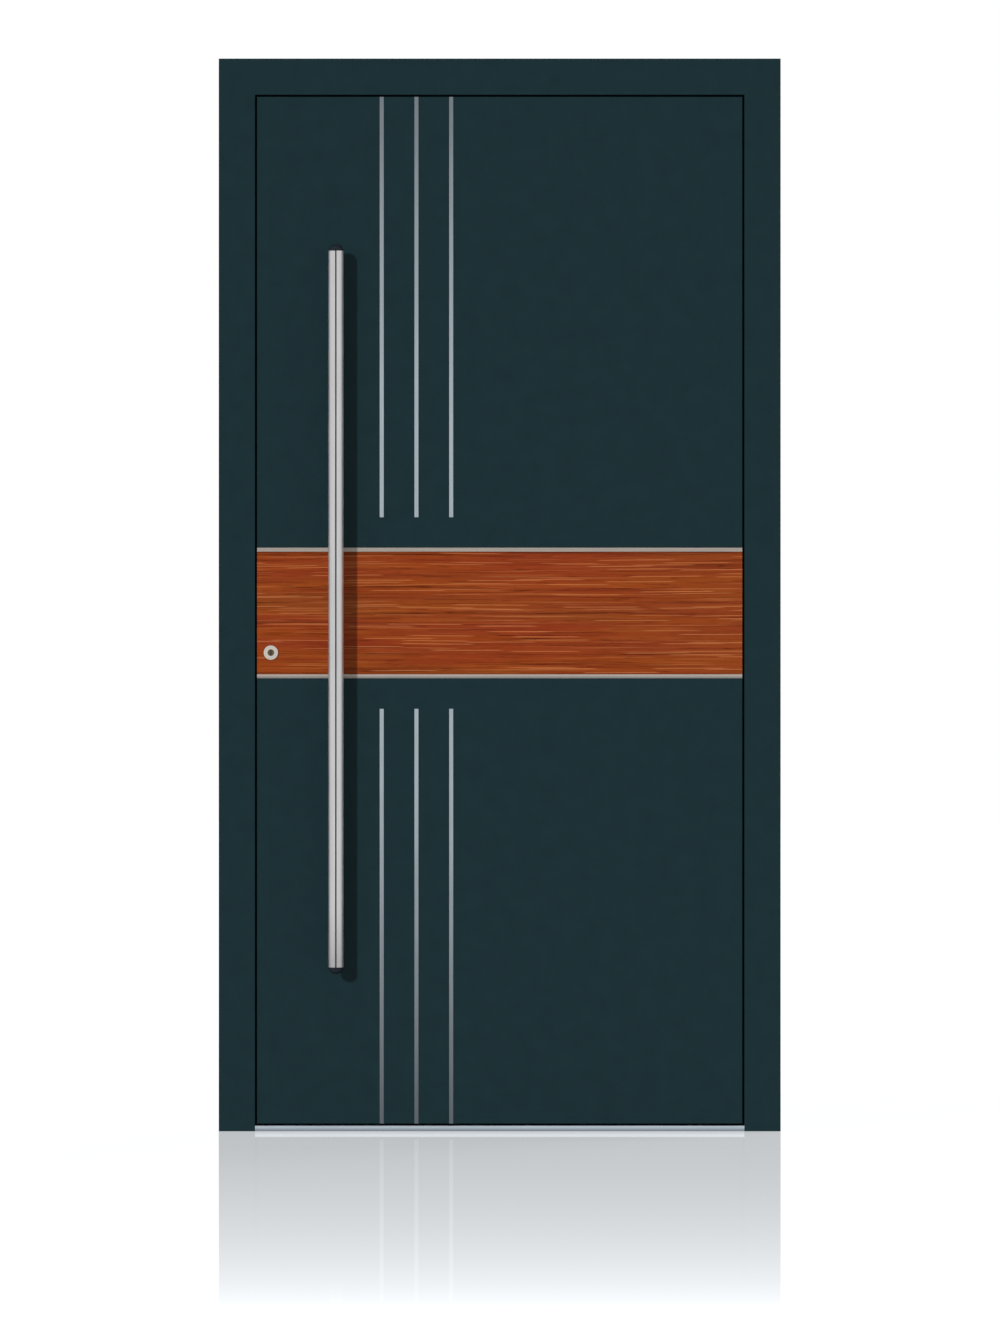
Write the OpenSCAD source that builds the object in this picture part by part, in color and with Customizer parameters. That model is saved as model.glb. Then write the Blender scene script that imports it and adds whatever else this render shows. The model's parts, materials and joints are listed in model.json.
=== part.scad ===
// Panelled aluminium front door in its frame, closed and unlocked.
// Millimetres, +Z up, outside towards -Y. Origin on the floor, mid width and mid depth of the frame.

/* [Frame] */
// Width of the door over its frame
frame_w = 1100; // [900:5:1300]
// Height of the door from the floor to the top of the frame
frame_h = 2100; // [1950:5:2400]
// Depth of the frame through the wall
frame_depth = 75; // [72:1:90]
// Width of the frame's face seen from outside
frame_face_w = 71; // [62:1:90]
// Depth of the frame's outer aluminium shell
frame_shell_d = 23.5; // [20:0.5:26]
// How far the leaf laps behind the frame's stop
lap = 20; // [18:1:24]
// Shadow gap round the leaf
leaf_gap = 4; // [4:0.5:6]
// Leg of the corner cleats past the inner corner
cleat_leg = 90; // [50:5:150]

/* [Extrusions] */
// Wall of the aluminium extrusions
wall = 2; // [1.6:0.1:2.6]
// Width of the gap between outer and inner shells
break_d = 14; // [10:1:16]
// Width of the feet of the plastic bars
bar_foot_w = 6; // [5:0.5:8]
// Thickness of the feet of the plastic bars
bar_foot_t = 2; // [1.5:0.1:2.5]
// Thickness of the webs of the plastic bars
bar_web_t = 2; // [1.5:0.1:3]
// Distance of the plastic bars from the edges of a shell
bar_inset = 9; // [8:0.5:11]
// Lips that close over the feet of bars and seals
groove_lip = 1; // [0.8:0.1:1.5]
// Bevel along the edges that show
edge_bevel = 0.8; // [0.4:0.1:1.2]

/* [Wall anchors] */
// Hole for a wall anchor in the jamb's back
anchor_d = 10.5; // [8:0.5:12]
// Access hole for the anchor's head in the rebate
anchor_access_d = 15; // [13:0.5:18]
// Height of the lowest anchors, and of the highest below the top
anchor_end = 200; // [150:5:250]
// Distance between the two middle anchors
anchor_mid_span = 700; // [640:10:800]

/* [Seals] */
// Space between the frame's stop and the leaf's flange
seal_gap = 6; // [5:0.5:8]
// Width of a seal's foot
seal_foot_w = 5; // [4:0.5:6]
// Height of a seal's foot
seal_foot_t = 2; // [1.5:0.1:2.5]
// Width of a seal's neck
seal_neck_w = 3; // [2:0.5:3.5]
// Wall of the seals
seal_wall = 1; // [0.8:0.1:1.5]
// Width of the lip seal under the leaf
sill_seal_w = 14; // [10:1:18]
// Thickness of the lip seal's carrier
seal_carrier_t = 2; // [1:0.1:3]

/* [Threshold] */
// Height of the threshold's stop
sill_h = 13; // [11:0.5:14]
// Height of the threshold's outer edge
sill_nose_h = 11; // [9:0.5:11]
// Height of the threshold's inner deck
deck_h = 5; // [4:0.5:6]
// Gap from the stop's top to the leaf's facing
sill_gap = 2; // [1.5:0.5:6]
// Gap from the deck to the leaf's bottom edge
deck_gap = 5; // [4:0.5:6]
// Pitch of the grooves in the inner deck
tread_pitch = 6; // [5:0.5:8]
// Width of the grooves in the inner deck
tread_w = 2; // [1.5:0.1:2.5]
// Depth of the grooves in the inner deck
tread_d = 1; // [0.5:0.1:1.5]

/* [Leaf] */
// Thickness of the facing sheets
sheet_t = 3; // [2:0.5:4]
// Width of the leaf's stiles and top rail
stile_w = 75; // [72:1:90]
// Height of the leaf's bottom rail
bottom_rail_h = 100; // [70:5:160]
// Length of the blocks that join bottom rail and stiles
rail_block_len = 60; // [40:5:100]

/* [Facing] */
// Height of the timber band's middle
band_z = 1014.5; // [980:0.5:1050]
// Height of the timber band
band_h = 240; // [220:5:280]
// Height of the trims above and below the band
trim_h = 8; // [6:0.2:14]
// How far trims and inlay strips stand proud
trim_proud = 0.5; // [0.2:0.1:0.8]
// Width of an inlay strip
strip_w = 8; // [6:0.5:14]
// Depth of the grooves that hold the inlay strips
strip_groove_d = 1.5; // [1:0.1:1.8]
// Distance between the inlay strips
strip_pitch = 68; // [50:1:80]
// Middle inlay strip, from the leaf's lock edge
strip_in = 312; // [300:1:340]
// Distance from the band's trims to the inlay strips
strip_end_gap = 59.5; // [40:0.5:90]
// Number of inlay strips
strip_count = 3; // [1:1:4]

/* [Pull bar] */
// Diameter of the pull bar
bar_d = 30; // [26:1:36]
// Length of the pull bar's tube
bar_len = 1400; // [1100:10:1600]
// Wall of the pull bar's tube
bar_wall = 3; // [2.5:0.1:4]
// Middle of the pull bar above the floor
bar_z = 1022; // [1000:1:1040]
// Pull bar, from the leaf's lock edge
bar_in = 155; // [130:1:200]
// Pull bar's axis in front of the leaf
bar_standoff = 60; // [50:1:75]
// Width of the V-shaped groove along the pull bar's front
bar_groove_w = 3; // [2:0.5:5]
// Depth of the V-shaped groove along the pull bar's front
bar_groove_d = 2.2; // [1:0.1:2.4]
// Height of the domed end caps
cap_h = 13; // [8:0.5:14]
// Length of the end caps' plugs
cap_plug_len = 24; // [15:1:40]
// Distance between the two posts
post_span = 1000; // [900:10:1040]
// Diameter of the posts
post_d = 20; // [16:1:24]
// Diameter of the posts' feet
post_foot_d = 28; // [24:1:30]
// Height of the posts' feet
post_foot_h = 6; // [3:0.5:10]
// Diameter of the spigots at both ends of a post
spigot_d = 10; // [8:0.5:12]
// Width of the plates behind the facing that take the posts
backing_w = 50; // [40:1:60]
// Height of the plates behind the facing that take the posts
backing_h = 90; // [60:1:120]
// Thickness of the plates behind the facing that take the posts
backing_t = 6; // [4:0.5:10]

/* [Lock] */
// Middle of the lock, from the leaf's inner face
lock_inset = 23.5; // [21:0.5:26]
// Key and lever axes, from the leaf's lock edge
backset = 47; // [45:1:50]
// Height of the key
key_z = 937; // [920:1:950]
// Height of the lever above the key
lever_rise = 92; // [85:1:100]
// Width of the lock's faceplate
faceplate_w = 24; // [22:0.5:26]
// Thickness of the lock's faceplate
faceplate_t = 3; // [2.5:0.1:3.5]
// Space left above and below the faceplate
faceplate_end = 60; // [40:5:90]
// Wall of the lock cases
case_wall = 1.5; // [1:0.1:2]
// Lock case behind the key and lever axes
case_rear = 18; // [17:0.5:20]
// Room for the drive rods above and below the works
rod_room = 34; // [32:1:45]
// Middle of the auxiliary locks, from the leaf's top and bottom
aux_end = 370; // [300:5:420]
// Height of an auxiliary lock case
aux_h = 110; // [100:5:140]
// Depth of an auxiliary lock case
aux_d = 46; // [44:1:60]
// Thickness of the strike plates
strike_t = 2; // [1.5:0.1:2]
// Strike plates past their outermost openings
strike_end = 26; // [20:1:40]
// Play of latch and bolts in the strike plates
strike_play = 1; // [0.5:0.1:1.5]

/* [Latch and bolts] */
// How far the latch bolt stands out
latch_throw = 12; // [10:0.5:12]
// Height of the latch bolt
latch_h = 30; // [24:1:34]
// Thickness of the latch bolt and dead bolt, and diameter of the auxiliary bolts
bolt_t = 12; // [10:0.5:13]
// Length of the latch bolt's head in the case
latch_body = 20; // [16:1:22]
// Thickness of the latch bolt's tip
latch_tip_t = 2.4; // [1.5:0.1:4]
// Straight side of the latch bolt before its bevel
latch_straight = 2; // [1:0.1:4]
// Height of the latch bolt's tail
tail_h = 6; // [5:0.5:8]
// Width of the lug on the latch bolt's tail
lug_w = 5; // [4:0.5:6]
// Turn of the lever that draws the latch
lever_turn = 40; // [36:1:45]
// How far the dead bolts stand out when locked
bolt_throw = 20; // [16:1:22]
// Height of the dead bolt
bolt_h = 28; // [22:1:30]
// Length of the dead bolts that stays in the lock when locked
bolt_hold = 16; // [14:1:18]
// Gap between the cam and the dead bolt
bolt_gap = 5; // [4:0.5:8]
// Coned nose of the auxiliary bolts
bolt_nose = 3; // [2:0.5:4]
// Travel of the drive rods
rod_travel = 18; // [12:1:18]
// Width of the drive rods
rod_w = 8; // [6:0.5:10]
// Thickness of the drive rods
rod_t = 3; // [2:0.5:4]
// Drive rods behind the wall of the stile
rod_in = 3; // [2:0.5:5]
// Length of the drive rods that stays in a lock case
rod_dip = 8; // [6:0.5:12]

/* [Key cylinder] */
// Diameter of the collar round the key cylinder
collar_d = 30; // [28:0.5:36]
// Height of the collar
collar_h = 4; // [3:0.5:6]
// How much the collar's radius narrows to its front
collar_taper = 1; // [0.5:0.1:2]
// Diameter of the key cylinder's body
cylinder_d = 22; // [21:0.5:22]
// Diameter of the turning plug
plug_d = 13; // [13:0.5:16]
// How far the plug's face lies behind the collar
plug_recess = 1; // [0.5:0.1:1.5]
// Width of the keyway
keyway_w = 2.6; // [2:0.1:3]
// Height of the keyway
keyway_h = 9; // [7:0.5:10]
// Depth of the keyway
keyway_d = 15; // [10:1:25]
// Radius of the cam's nose
cam_r = 14; // [12:0.5:15]
// Radius of the cam's hub
cam_hub_r = 7; // [6:0.5:8]
// Width of the cam
cam_w = 7; // [5:0.5:10]
// Thickness of the cam and of the latch follower's arm
cam_t = 8; // [6:0.5:9]
// Side of the square tail from the plug to the thumb turn
tail_side = 6; // [5:0.5:7]
// Length of the square tail inside the thumb turn and its rose
tail_in = 15; // [10:1:22]

/* [Inside handles] */
// Diameter of the roses
rose_d = 52; // [46:1:60]
// Thickness of the roses
rose_t = 8; // [6:0.5:10]
// Bevel round the roses
rose_bevel = 2; // [1:0.5:3]
// Diameter of the lever
lever_d = 18; // [16:0.5:20]
// Lever's axis from the leaf's inner face
lever_reach = 50; // [44:1:60]
// Length of the lever from its turning axis
lever_len = 125; // [100:1:140]
// Radius of the bend in the lever
lever_bend_r = 16; // [14:0.5:20]
// Bevel round the lever's end
lever_bevel = 3; // [1:0.5:5]
// Side of the square spindle
spindle_side = 8; // [7:0.5:9]
// Length of the spindle inside the lever and its rose
spindle_in = 26; // [20:1:28]
// Radius of the latch follower's hub
follower_hub_r = 10; // [9:0.5:10.5]
// Radius of the tip of the follower's arm
follower_tip_r = 3; // [2.5:0.1:3.5]
// Width of the thumb turn
thumb_w = 34; // [28:1:40]
// Thickness of the thumb turn
thumb_t = 12; // [10:0.5:14]
// How far the thumb turn stands out
thumb_reach = 30; // [25:1:36]
// Diameter of the thumb turn's stem
thumb_stem_d = 14; // [12:0.5:16]

/* [Hinges] */
// Height of a hinge
hinge_h = 160; // [130:5:180]
// Diameter of the hinge barrels
barrel_d = 20; // [18:0.5:21]
// Diameter of the hinge pins
pin_d = 12; // [10:0.5:12]
// Wall of the plastic bushes
bush_wall = 1.5; // [1:0.1:2]
// Thickness of the flanges of the bushes
bush_flange_t = 1; // [0.6:0.1:2]
// Hinge axis in front of the leaf's inner face
hinge_offset = 13; // [12.5:0.5:16]
// Middle of the lowest hinge, and of the highest below the leaf's top
hinge_end = 225; // [180:5:300]
// Number of hinges
hinge_count = 3; // [2:1:4]
// Height of the leaf's knuckle
leaf_knuckle_h = 68; // [50:1:80]
// Width of the hinge plates
hinge_plate_w = 34; // [30:1:36]
// Thickness of the hinge plates
hinge_plate_t = 5; // [4:0.5:6]
// Domed heads of the hinge pins
pin_head_h = 4; // [3:0.5:6]
// Countersunk screw heads in the plates
screw_head_d = 9; // [8:0.5:10]
// Screw shanks
screw_d = 5; // [4:0.5:5]
// Hinge screws, from the plate's edge beside the barrel
hinge_screw_in = 21; // [18:0.5:24]
// Outermost hinge screws, from the plate's ends
hinge_screw_end = 19; // [15:1:25]
// Distance between the two screws at each end of a hinge plate
hinge_screw_pitch = 37; // [30:1:45]

/* [Clearances] */
// Slip between pieces pushed into one another
slip = 0.1; // [0.05:0.05:0.2]
// Running clearance on a radius
running = 0.06; // [0.03:0.01:0.1]
// Space round pieces that move past one another
room = 0.4; // [0.3:0.1:0.6]

/* [Hidden] */
$fn = 64;
over = 1;
coat = [0.12, 0.19, 0.21];
steel = [0.72, 0.73, 0.74];
plain_aluminium = [0.66, 0.68, 0.70];
zinc = [0.58, 0.57, 0.53];
timber = [0.56, 0.27, 0.13];
plastic_black = [0.07, 0.07, 0.07];
foam = [0.82, 0.78, 0.66];

// Planes through the depth, from outside to inside
y_front = -frame_depth / 2;
y_back = frame_depth / 2;
y_stop = y_front + frame_shell_d;
y_frame_in = y_stop + break_d;
y_flange = y_stop + seal_gap;
y_facing = y_front + sheet_t;
y_leaf_out = y_flange - break_d;
y_liner = y_back - sheet_t;
y_lock = y_back - lock_inset;

// Outlines of frame and leaf
half_w = frame_w / 2;
frame_inner_w = frame_face_w - lap;
rebate_half = half_w - frame_inner_w;
leaf_half = half_w - frame_face_w - leaf_gap;
flange_half = leaf_half + lap;
leaf_top = frame_h - frame_face_w - leaf_gap;
flange_top = leaf_top + lap;
leaf_bottom = sill_h + sill_gap;
flange_bottom = deck_h + deck_gap;
core_half = flange_half - stile_w;
core_bottom = flange_bottom + bottom_rail_h;
core_top = flange_top - stile_w;

// Grooves for bars and seals
boss_d = groove_lip + bar_foot_t + slip + wall;
seal_boss_d = groove_lip + seal_foot_t + slip + wall;
frame_bars = [bar_inset, frame_inner_w - bar_inset];
leaf_bars = [lap + bar_inset, stile_w - bar_inset];
rail_bars = [leaf_bottom - flange_bottom + bar_inset, bottom_rail_h - bar_inset];
seal_u = frame_face_w - lap / 2;
anchor_heights = [anchor_end, (frame_h - anchor_mid_span) / 2,
                  (frame_h + anchor_mid_span) / 2, frame_h - anchor_end];
anchor_y = (y_frame_in + y_back) / 2;

// Facing
band_bottom = band_z - band_h / 2;
band_top = band_z + band_h / 2;
lower_sheet_top = band_bottom - trim_h;
upper_sheet_bottom = band_top + trim_h;
strip_xs = [for (i = [0 : strip_count - 1])
    -leaf_half + strip_in + (i - (strip_count - 1) / 2) * strip_pitch];

// Pull bar
bar_x = -leaf_half + bar_in;
bar_y = y_front - bar_standoff;
post_heights = [bar_z - post_span / 2, bar_z + post_span / 2];

// Lock
edge_x = -flange_half;
key_x = edge_x + backset;
lever_z = key_z + lever_rise;
follower_r = latch_throw / (2 * sin(lever_turn / 2));
tail_bottom = lever_z + follower_r + follower_tip_r + room;
latch_z = tail_bottom + tail_h / 2;
// The lug hangs down to the middle of the arm's tip and stays clear of the arm where it leans most
lug_bottom = lever_z + follower_r * cos(lever_turn / 2);
lug_x = key_x - follower_r * sin(lever_turn / 2) + follower_tip_r / cos(lever_turn / 2) + room;
bolt_z = key_z + cam_r + bolt_gap + bolt_h / 2;
bolt_len = bolt_throw + bolt_hold;
case_front = edge_x + faceplate_t;
case_t = bolt_t + 2 * room + 2 * case_wall;
case_back = key_x + case_rear;
case_top = latch_z + latch_h / 2 + rod_room;
case_bottom = key_z - cam_r - rod_room;
case_y0 = y_lock - case_t / 2;
case_y1 = y_lock + case_t / 2;
aux_heights = [flange_bottom + aux_end, flange_top - aux_end];
rod_x = case_front + wall + rod_in;
faceplate_bottom = flange_bottom + faceplate_end;
faceplate_top = flange_top - faceplate_end;
strike_x = -rebate_half;
spindle_end = y_back + spindle_in;
spindle_hole_r = spindle_side / sqrt(2) + room;
tail_end = y_back + tail_in;
tail_hole_r = tail_side / sqrt(2) + room;

// Hinges
hinge_x = flange_half + leaf_gap / 2;
hinge_y = y_back + hinge_offset;
barrel_r = barrel_d / 2;
hinge_low = flange_bottom + hinge_end;
hinge_high = flange_top - hinge_end;
hinge_heights = [for (i = [0 : hinge_count - 1])
    hinge_low + (hinge_high - hinge_low) * i / (hinge_count - 1)];
knuckle_gap = bush_flange_t + 2 * slip;
frame_knuckle_h = (hinge_h - leaf_knuckle_h) / 2 - knuckle_gap;
plate_near = sqrt(pow(barrel_r + room, 2) - pow(hinge_offset - hinge_plate_t, 2));
hinge_screws = [hinge_screw_end, hinge_screw_end + hinge_screw_pitch,
                hinge_h - hinge_screw_end - hinge_screw_pitch, hinge_h - hinge_screw_end];

// Shapes shared by several pieces

// Rectangle between two corners
module rect(u0, y0, u1, y1) {
    translate([u0, y0]) square([u1 - u0, y1 - y0]);
}

// Corner points of a rectangle whose two low-y or two high-y corners may be bevelled
function bevelled(u0, y0, u1, y1, low, high) = concat(
    low > 0 ? [[u0, y0 + low], [u0 + low, y0], [u1 - low, y0], [u1, y0 + low]]
            : [[u0, y0], [u1, y0]],
    high > 0 ? [[u1, y1 - high], [u1 - high, y1], [u0 + high, y1], [u0, y1 - high]]
             : [[u1, y1], [u0, y1]]);

// Box between two corners
module block(low, high) {
    translate(low) cube(high - low);
}

// Outline in X and Z, carried through the depth from y0 to y1
module through_depth(points, y0, y1) {
    translate([0, y1, 0]) rotate([90, 0, 0]) linear_extrude(y1 - y0) polygon(points);
}

// Flat panel whose front or back edges are bevelled all round
module panel(x0, x1, z0, z1, y0, y1, low, high) {
    intersection() {
        translate([0, 0, z0]) linear_extrude(z1 - z0) polygon(bevelled(x0, y0, x1, y1, low, high));
        translate([x1, 0, 0]) rotate([0, -90, 0]) linear_extrude(x1 - x0)
            polygon(bevelled(z0, y0, z1, y1, low, high));
    }
}

// Round bar along Y
module along_y(x, z, r, y0, y1) {
    translate([x, y0, z]) rotate([-90, 0, 0]) cylinder(r = r, h = y1 - y0);
}

// Round bar along X
module along_x(y, z, r, x0, x1) {
    translate([x0, y, z]) rotate([0, 90, 0]) cylinder(r = r, h = x1 - x0);
}

// Copies of a piece at the lock side and, mirrored, at the hinge side
module both_sides() {
    children();
    mirror([1, 0, 0]) children();
}

// Undercut groove with its mouth on y = 0, opening into +y
module groove(mouth_w, slot_w, slot_d) {
    rect(-mouth_w / 2, -over, mouth_w / 2, groove_lip + slot_d);
    rect(-slot_w / 2, groove_lip, slot_w / 2, groove_lip + slot_d);
}

// Groove for a plastic bar or, wider, for a seal
module bar_groove() {
    groove(bar_web_t + 2 * slip, bar_foot_w + 2 * slip, bar_foot_t + slip);
}

module seal_groove() {
    groove(seal_neck_w + 2 * slip, seal_foot_w + 2 * slip, seal_foot_t + slip);
}

// Solid ridge inside a shell's wall that a groove is cut into
module ridge(w, d) {
    rect(-w / 2 - wall, 0, w / 2 + wall, d);
}

// Hollow aluminium shell. The side towards the plastic bars lies on y0 or, flipped, on y1
module shell(u0, u1, y0, y1, bars, flipped, low, high) {
    face = flipped ? y1 : y0;
    difference() {
        union() {
            difference() {
                polygon(bevelled(u0, y0, u1, y1, low, high));
                rect(u0 + wall, y0 + wall, u1 - wall, y1 - wall);
            }
            for (u = bars)
                translate([u, face]) rotate(flipped ? 180 : 0) ridge(bar_foot_w, boss_d);
        }
        for (u = bars)
            translate([u, face]) rotate(flipped ? 180 : 0) bar_groove();
    }
}

// Plastic bar: a web with a foot in the groove of each shell
module thermal_bar(u, y0, y1) {
    reach = groove_lip + bar_foot_t;
    rect(u - bar_web_t / 2, y0 - reach, u + bar_web_t / 2, y1 + reach);
    rect(u - bar_foot_w / 2, y0 - reach, u + bar_foot_w / 2, y0 - groove_lip);
    rect(u - bar_foot_w / 2, y1 + groove_lip, u + bar_foot_w / 2, y1 + reach);
}

// Profile stood up at the lock side, mitred at the top and cut short of the mitre by a gap.
// u runs inwards from the outer edge
module mitred_upright(edge_half, bottom, top, member_w, short) {
    intersection() {
        translate([-edge_half, 0, bottom]) linear_extrude(top - bottom) children();
        through_depth([[-edge_half, bottom], [member_w - edge_half, bottom],
                       [member_w - edge_half, top - member_w - short], [-edge_half, top - short]],
                      y_front - over, y_back + over);
    }
}

// Profile laid across the top, mitred at both ends. u runs down from the top edge
module mitred_head(edge_half, top, member_w) {
    intersection() {
        translate([-edge_half, 0, top]) rotate([0, 90, 0]) linear_extrude(2 * edge_half) children();
        through_depth([[-edge_half, top], [edge_half, top],
                       [edge_half - member_w, top - member_w], [member_w - edge_half, top - member_w]],
                      y_front - over, y_back + over);
    }
}

// Profile laid across the bottom with square ends. u runs up from the bottom edge
module square_rail(end_half, bottom) {
    translate([end_half, 0, bottom]) rotate([0, -90, 0]) linear_extrude(2 * end_half) children();
}

// Angle piece in the chambers of two mitred profiles
module corner_cleat(edge_half, top, side_in, top_in, member_end, y0, y1) {
    x0 = side_in - edge_half;
    x1 = member_end - edge_half;
    z0 = top - member_end;
    z1 = top - top_in;
    both_sides() through_depth([[x0, z1], [x1 + cleat_leg, z1], [x1 + cleat_leg, z0],
                                [x1, z0], [x1, z0 - cleat_leg], [x0, z0 - cleat_leg]], y0, y1);
}

// Countersunk screw hole from the origin down -Z
module countersink(depth) {
    cone_h = (screw_head_d - screw_d) / 2;
    translate([0, 0, -depth - over]) cylinder(d = screw_d, h = depth + 2 * over);
    translate([0, 0, -cone_h]) cylinder(d1 = screw_d, d2 = screw_head_d, h = cone_h);
    cylinder(d = screw_head_d, h = over);
}

// Frame

module frame_outer_section() {
    difference() {
        union() {
            shell(0, frame_face_w, y_front, y_stop, frame_bars, true, edge_bevel, 0);
            translate([seal_u, y_stop]) rotate(180) ridge(seal_foot_w, seal_boss_d);
        }
        translate([seal_u, y_stop]) rotate(180) seal_groove();
    }
}

module frame_inner_section() {
    shell(0, frame_inner_w, y_frame_in, y_back, frame_bars, false, 0, edge_bevel);
}

module head_outer_profile() {
    color(coat) mitred_head(half_w, frame_h, frame_face_w) frame_outer_section();
}

module head_inner_profile() {
    color(coat) mitred_head(half_w, frame_h, frame_face_w) frame_inner_section();
}

module jamb_outer() {
    mitred_upright(half_w, 0, frame_h, frame_face_w, 0) frame_outer_section();
}

// Inner shell of the lock jamb with its anchor holes and the access holes in the rebate
module jamb_inner() {
    difference() {
        mitred_upright(half_w, 0, frame_h, frame_face_w, 0) frame_inner_section();
        for (z = anchor_heights) {
            along_x(anchor_y, z, anchor_d / 2, -half_w - over, -half_w + wall + over);
            along_x(anchor_y, z, anchor_access_d / 2, -rebate_half - wall - over, -rebate_half + over);
        }
    }
}

module lock_jamb_outer_profile() {
    color(coat) jamb_outer();
}

module lock_jamb_inner_profile() {
    color(coat) difference() {
        jamb_inner();
        strike_openings(-rebate_half - wall - over, -rebate_half + over, slip);
    }
}

module hinge_jamb_outer_profile() {
    color(coat) mirror([1, 0, 0]) jamb_outer();
}

module hinge_jamb_inner_profile() {
    color(coat) mirror([1, 0, 0]) jamb_inner();
}

module frame_thermal_bars() {
    color(plastic_black) {
        for (u = frame_bars) {
            both_sides() mitred_upright(half_w, 0, frame_h, frame_face_w, slip)
                thermal_bar(u, y_stop, y_frame_in);
            mitred_head(half_w, frame_h, frame_face_w) thermal_bar(u, y_stop, y_frame_in);
        }
    }
}

module frame_corner_cleats() {
    inset = wall + slip;
    color(zinc) {
        corner_cleat(half_w, frame_h, inset, inset, frame_face_w - inset,
                     y_front + inset, y_stop - max(boss_d, seal_boss_d) - slip);
        corner_cleat(half_w, frame_h, inset, inset, frame_inner_w - inset,
                     y_frame_in + boss_d + slip, y_back - inset);
    }
}

// Threshold, three rails side by side between the jambs

module threshold_outer_rail() {
    half = half_w - frame_face_w;
    color(plain_aluminium) square_rail(half, 0) difference() {
        polygon([[0, y_front], [sill_nose_h - edge_bevel, y_front], [sill_nose_h, y_front + edge_bevel],
                 [sill_h, y_stop - edge_bevel], [sill_h - edge_bevel, y_stop], [0, y_stop]]);
        polygon([[wall, y_front + wall], [sill_nose_h - wall, y_front + wall],
                 [sill_h - wall, y_stop - wall], [wall, y_stop - wall]]);
    }
}

module threshold_thermal_core() {
    color(plastic_black) block([-rebate_half, y_stop, 0], [rebate_half, y_frame_in, deck_h]);
}

module threshold_inner_rail() {
    treads = floor((y_back - y_frame_in - tread_pitch) / tread_pitch);
    first = (y_frame_in + y_back - (treads - 1) * tread_pitch) / 2;
    color(plain_aluminium) square_rail(rebate_half, 0) difference() {
        polygon([[0, y_frame_in], [deck_h, y_frame_in], [deck_h, y_back - edge_bevel],
                 [deck_h - edge_bevel, y_back], [0, y_back]]);
        for (i = [0 : treads - 1])
            rect(deck_h - tread_d, first + i * tread_pitch - tread_w / 2,
                 deck_h + over, first + i * tread_pitch + tread_w / 2);
    }
}

// Hollow bulb seal with its foot in the stop's groove
module stop_seal_section() {
    bulb_r = (seal_gap - room) / 2;
    difference() {
        union() {
            translate([seal_u, y_stop + bulb_r]) circle(bulb_r);
            rect(seal_u - seal_neck_w / 2, y_stop - groove_lip - seal_foot_t,
                 seal_u + seal_neck_w / 2, y_stop + bulb_r);
            rect(seal_u - seal_foot_w / 2, y_stop - groove_lip - seal_foot_t,
                 seal_u + seal_foot_w / 2, y_stop - groove_lip);
        }
        translate([seal_u, y_stop + bulb_r]) circle(bulb_r - seal_wall);
    }
}

module frame_stop_seal() {
    color(plastic_black) {
        both_sides() mitred_upright(half_w, deck_h, frame_h, frame_face_w, 0) stop_seal_section();
        mitred_head(half_w, frame_h, frame_face_w) stop_seal_section();
    }
}

// Openings for latch, dead bolt and auxiliary bolts, cut through the strike plates and the jamb
module strike_openings(x0, x1, extra) {
    play = strike_play + extra;
    side = bolt_t / 2 + play;
    block([x0, y_lock - side, latch_z - latch_h / 2 - play],
          [x1, y_lock + side, latch_z + latch_h / 2 + play]);
    block([x0, y_lock - side, bolt_z - bolt_h / 2 - play],
          [x1, y_lock + side, bolt_z + bolt_h / 2 + play]);
    for (z = aux_heights)
        along_x(y_lock, z, side, x0, x1);
}

// Plate with round ends that stands in line with the lock
module lock_plate(x0, x1, z0, z1) {
    r = faceplate_w / 2;
    block([x0, y_lock - r, z0 + r], [x1, y_lock + r, z1 - r]);
    for (z = [z0 + r, z1 - r])
        along_x(y_lock, z, r, x0, x1);
}

// Strike plate on the jamb's rebate face, screwed near its two ends
module strike_plate(z0, z1) {
    difference() {
        lock_plate(strike_x, strike_x + strike_t, z0, z1);
        strike_openings(strike_x - over, strike_x + strike_t + over, 0);
        for (z = [z0 + strike_end / 2, z1 - strike_end / 2])
            translate([strike_x + strike_t, y_lock, z]) rotate([0, 90, 0]) countersink(strike_t);
    }
}

module main_strike_plate() {
    color(steel) strike_plate(bolt_z - bolt_h / 2 - strike_end, latch_z + latch_h / 2 + strike_end);
}

module auxiliary_strike_plates() {
    reach = bolt_t / 2 + strike_end;
    color(steel) for (z = aux_heights) strike_plate(z - reach, z + reach);
}

// Hinges: a plate with knuckles, drawn for the frame's side of an axis on the origin

module hinge_plate(z) {
    translate([plate_near, -hinge_offset, z - hinge_h / 2]) difference() {
        panel(0, hinge_plate_w, 0, hinge_h, 0, hinge_plate_t, 0, edge_bevel);
        for (screw_z = hinge_screws)
            translate([hinge_screw_in, hinge_plate_t, screw_z])
                rotate([-90, 0, 0]) countersink(hinge_plate_t);
    }
}

module knuckle(z0, h, bore_r) {
    translate([0, 0, z0]) difference() {
        union() {
            cylinder(r = barrel_r, h = h);
            block([0, -hinge_offset + room, 0],
                  [plate_near + over, -hinge_offset + hinge_plate_t + room, h]);
        }
        translate([0, 0, -over]) cylinder(r = bore_r, h = h + 2 * over);
    }
}

module hinge_frame_parts() {
    color(coat) translate([hinge_x, hinge_y, 0]) for (z = hinge_heights) {
        hinge_plate(z);
        knuckle(z - hinge_h / 2, frame_knuckle_h, pin_d / 2 + running);
        knuckle(z + hinge_h / 2 - frame_knuckle_h, frame_knuckle_h, pin_d / 2 + running);
    }
}

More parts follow.
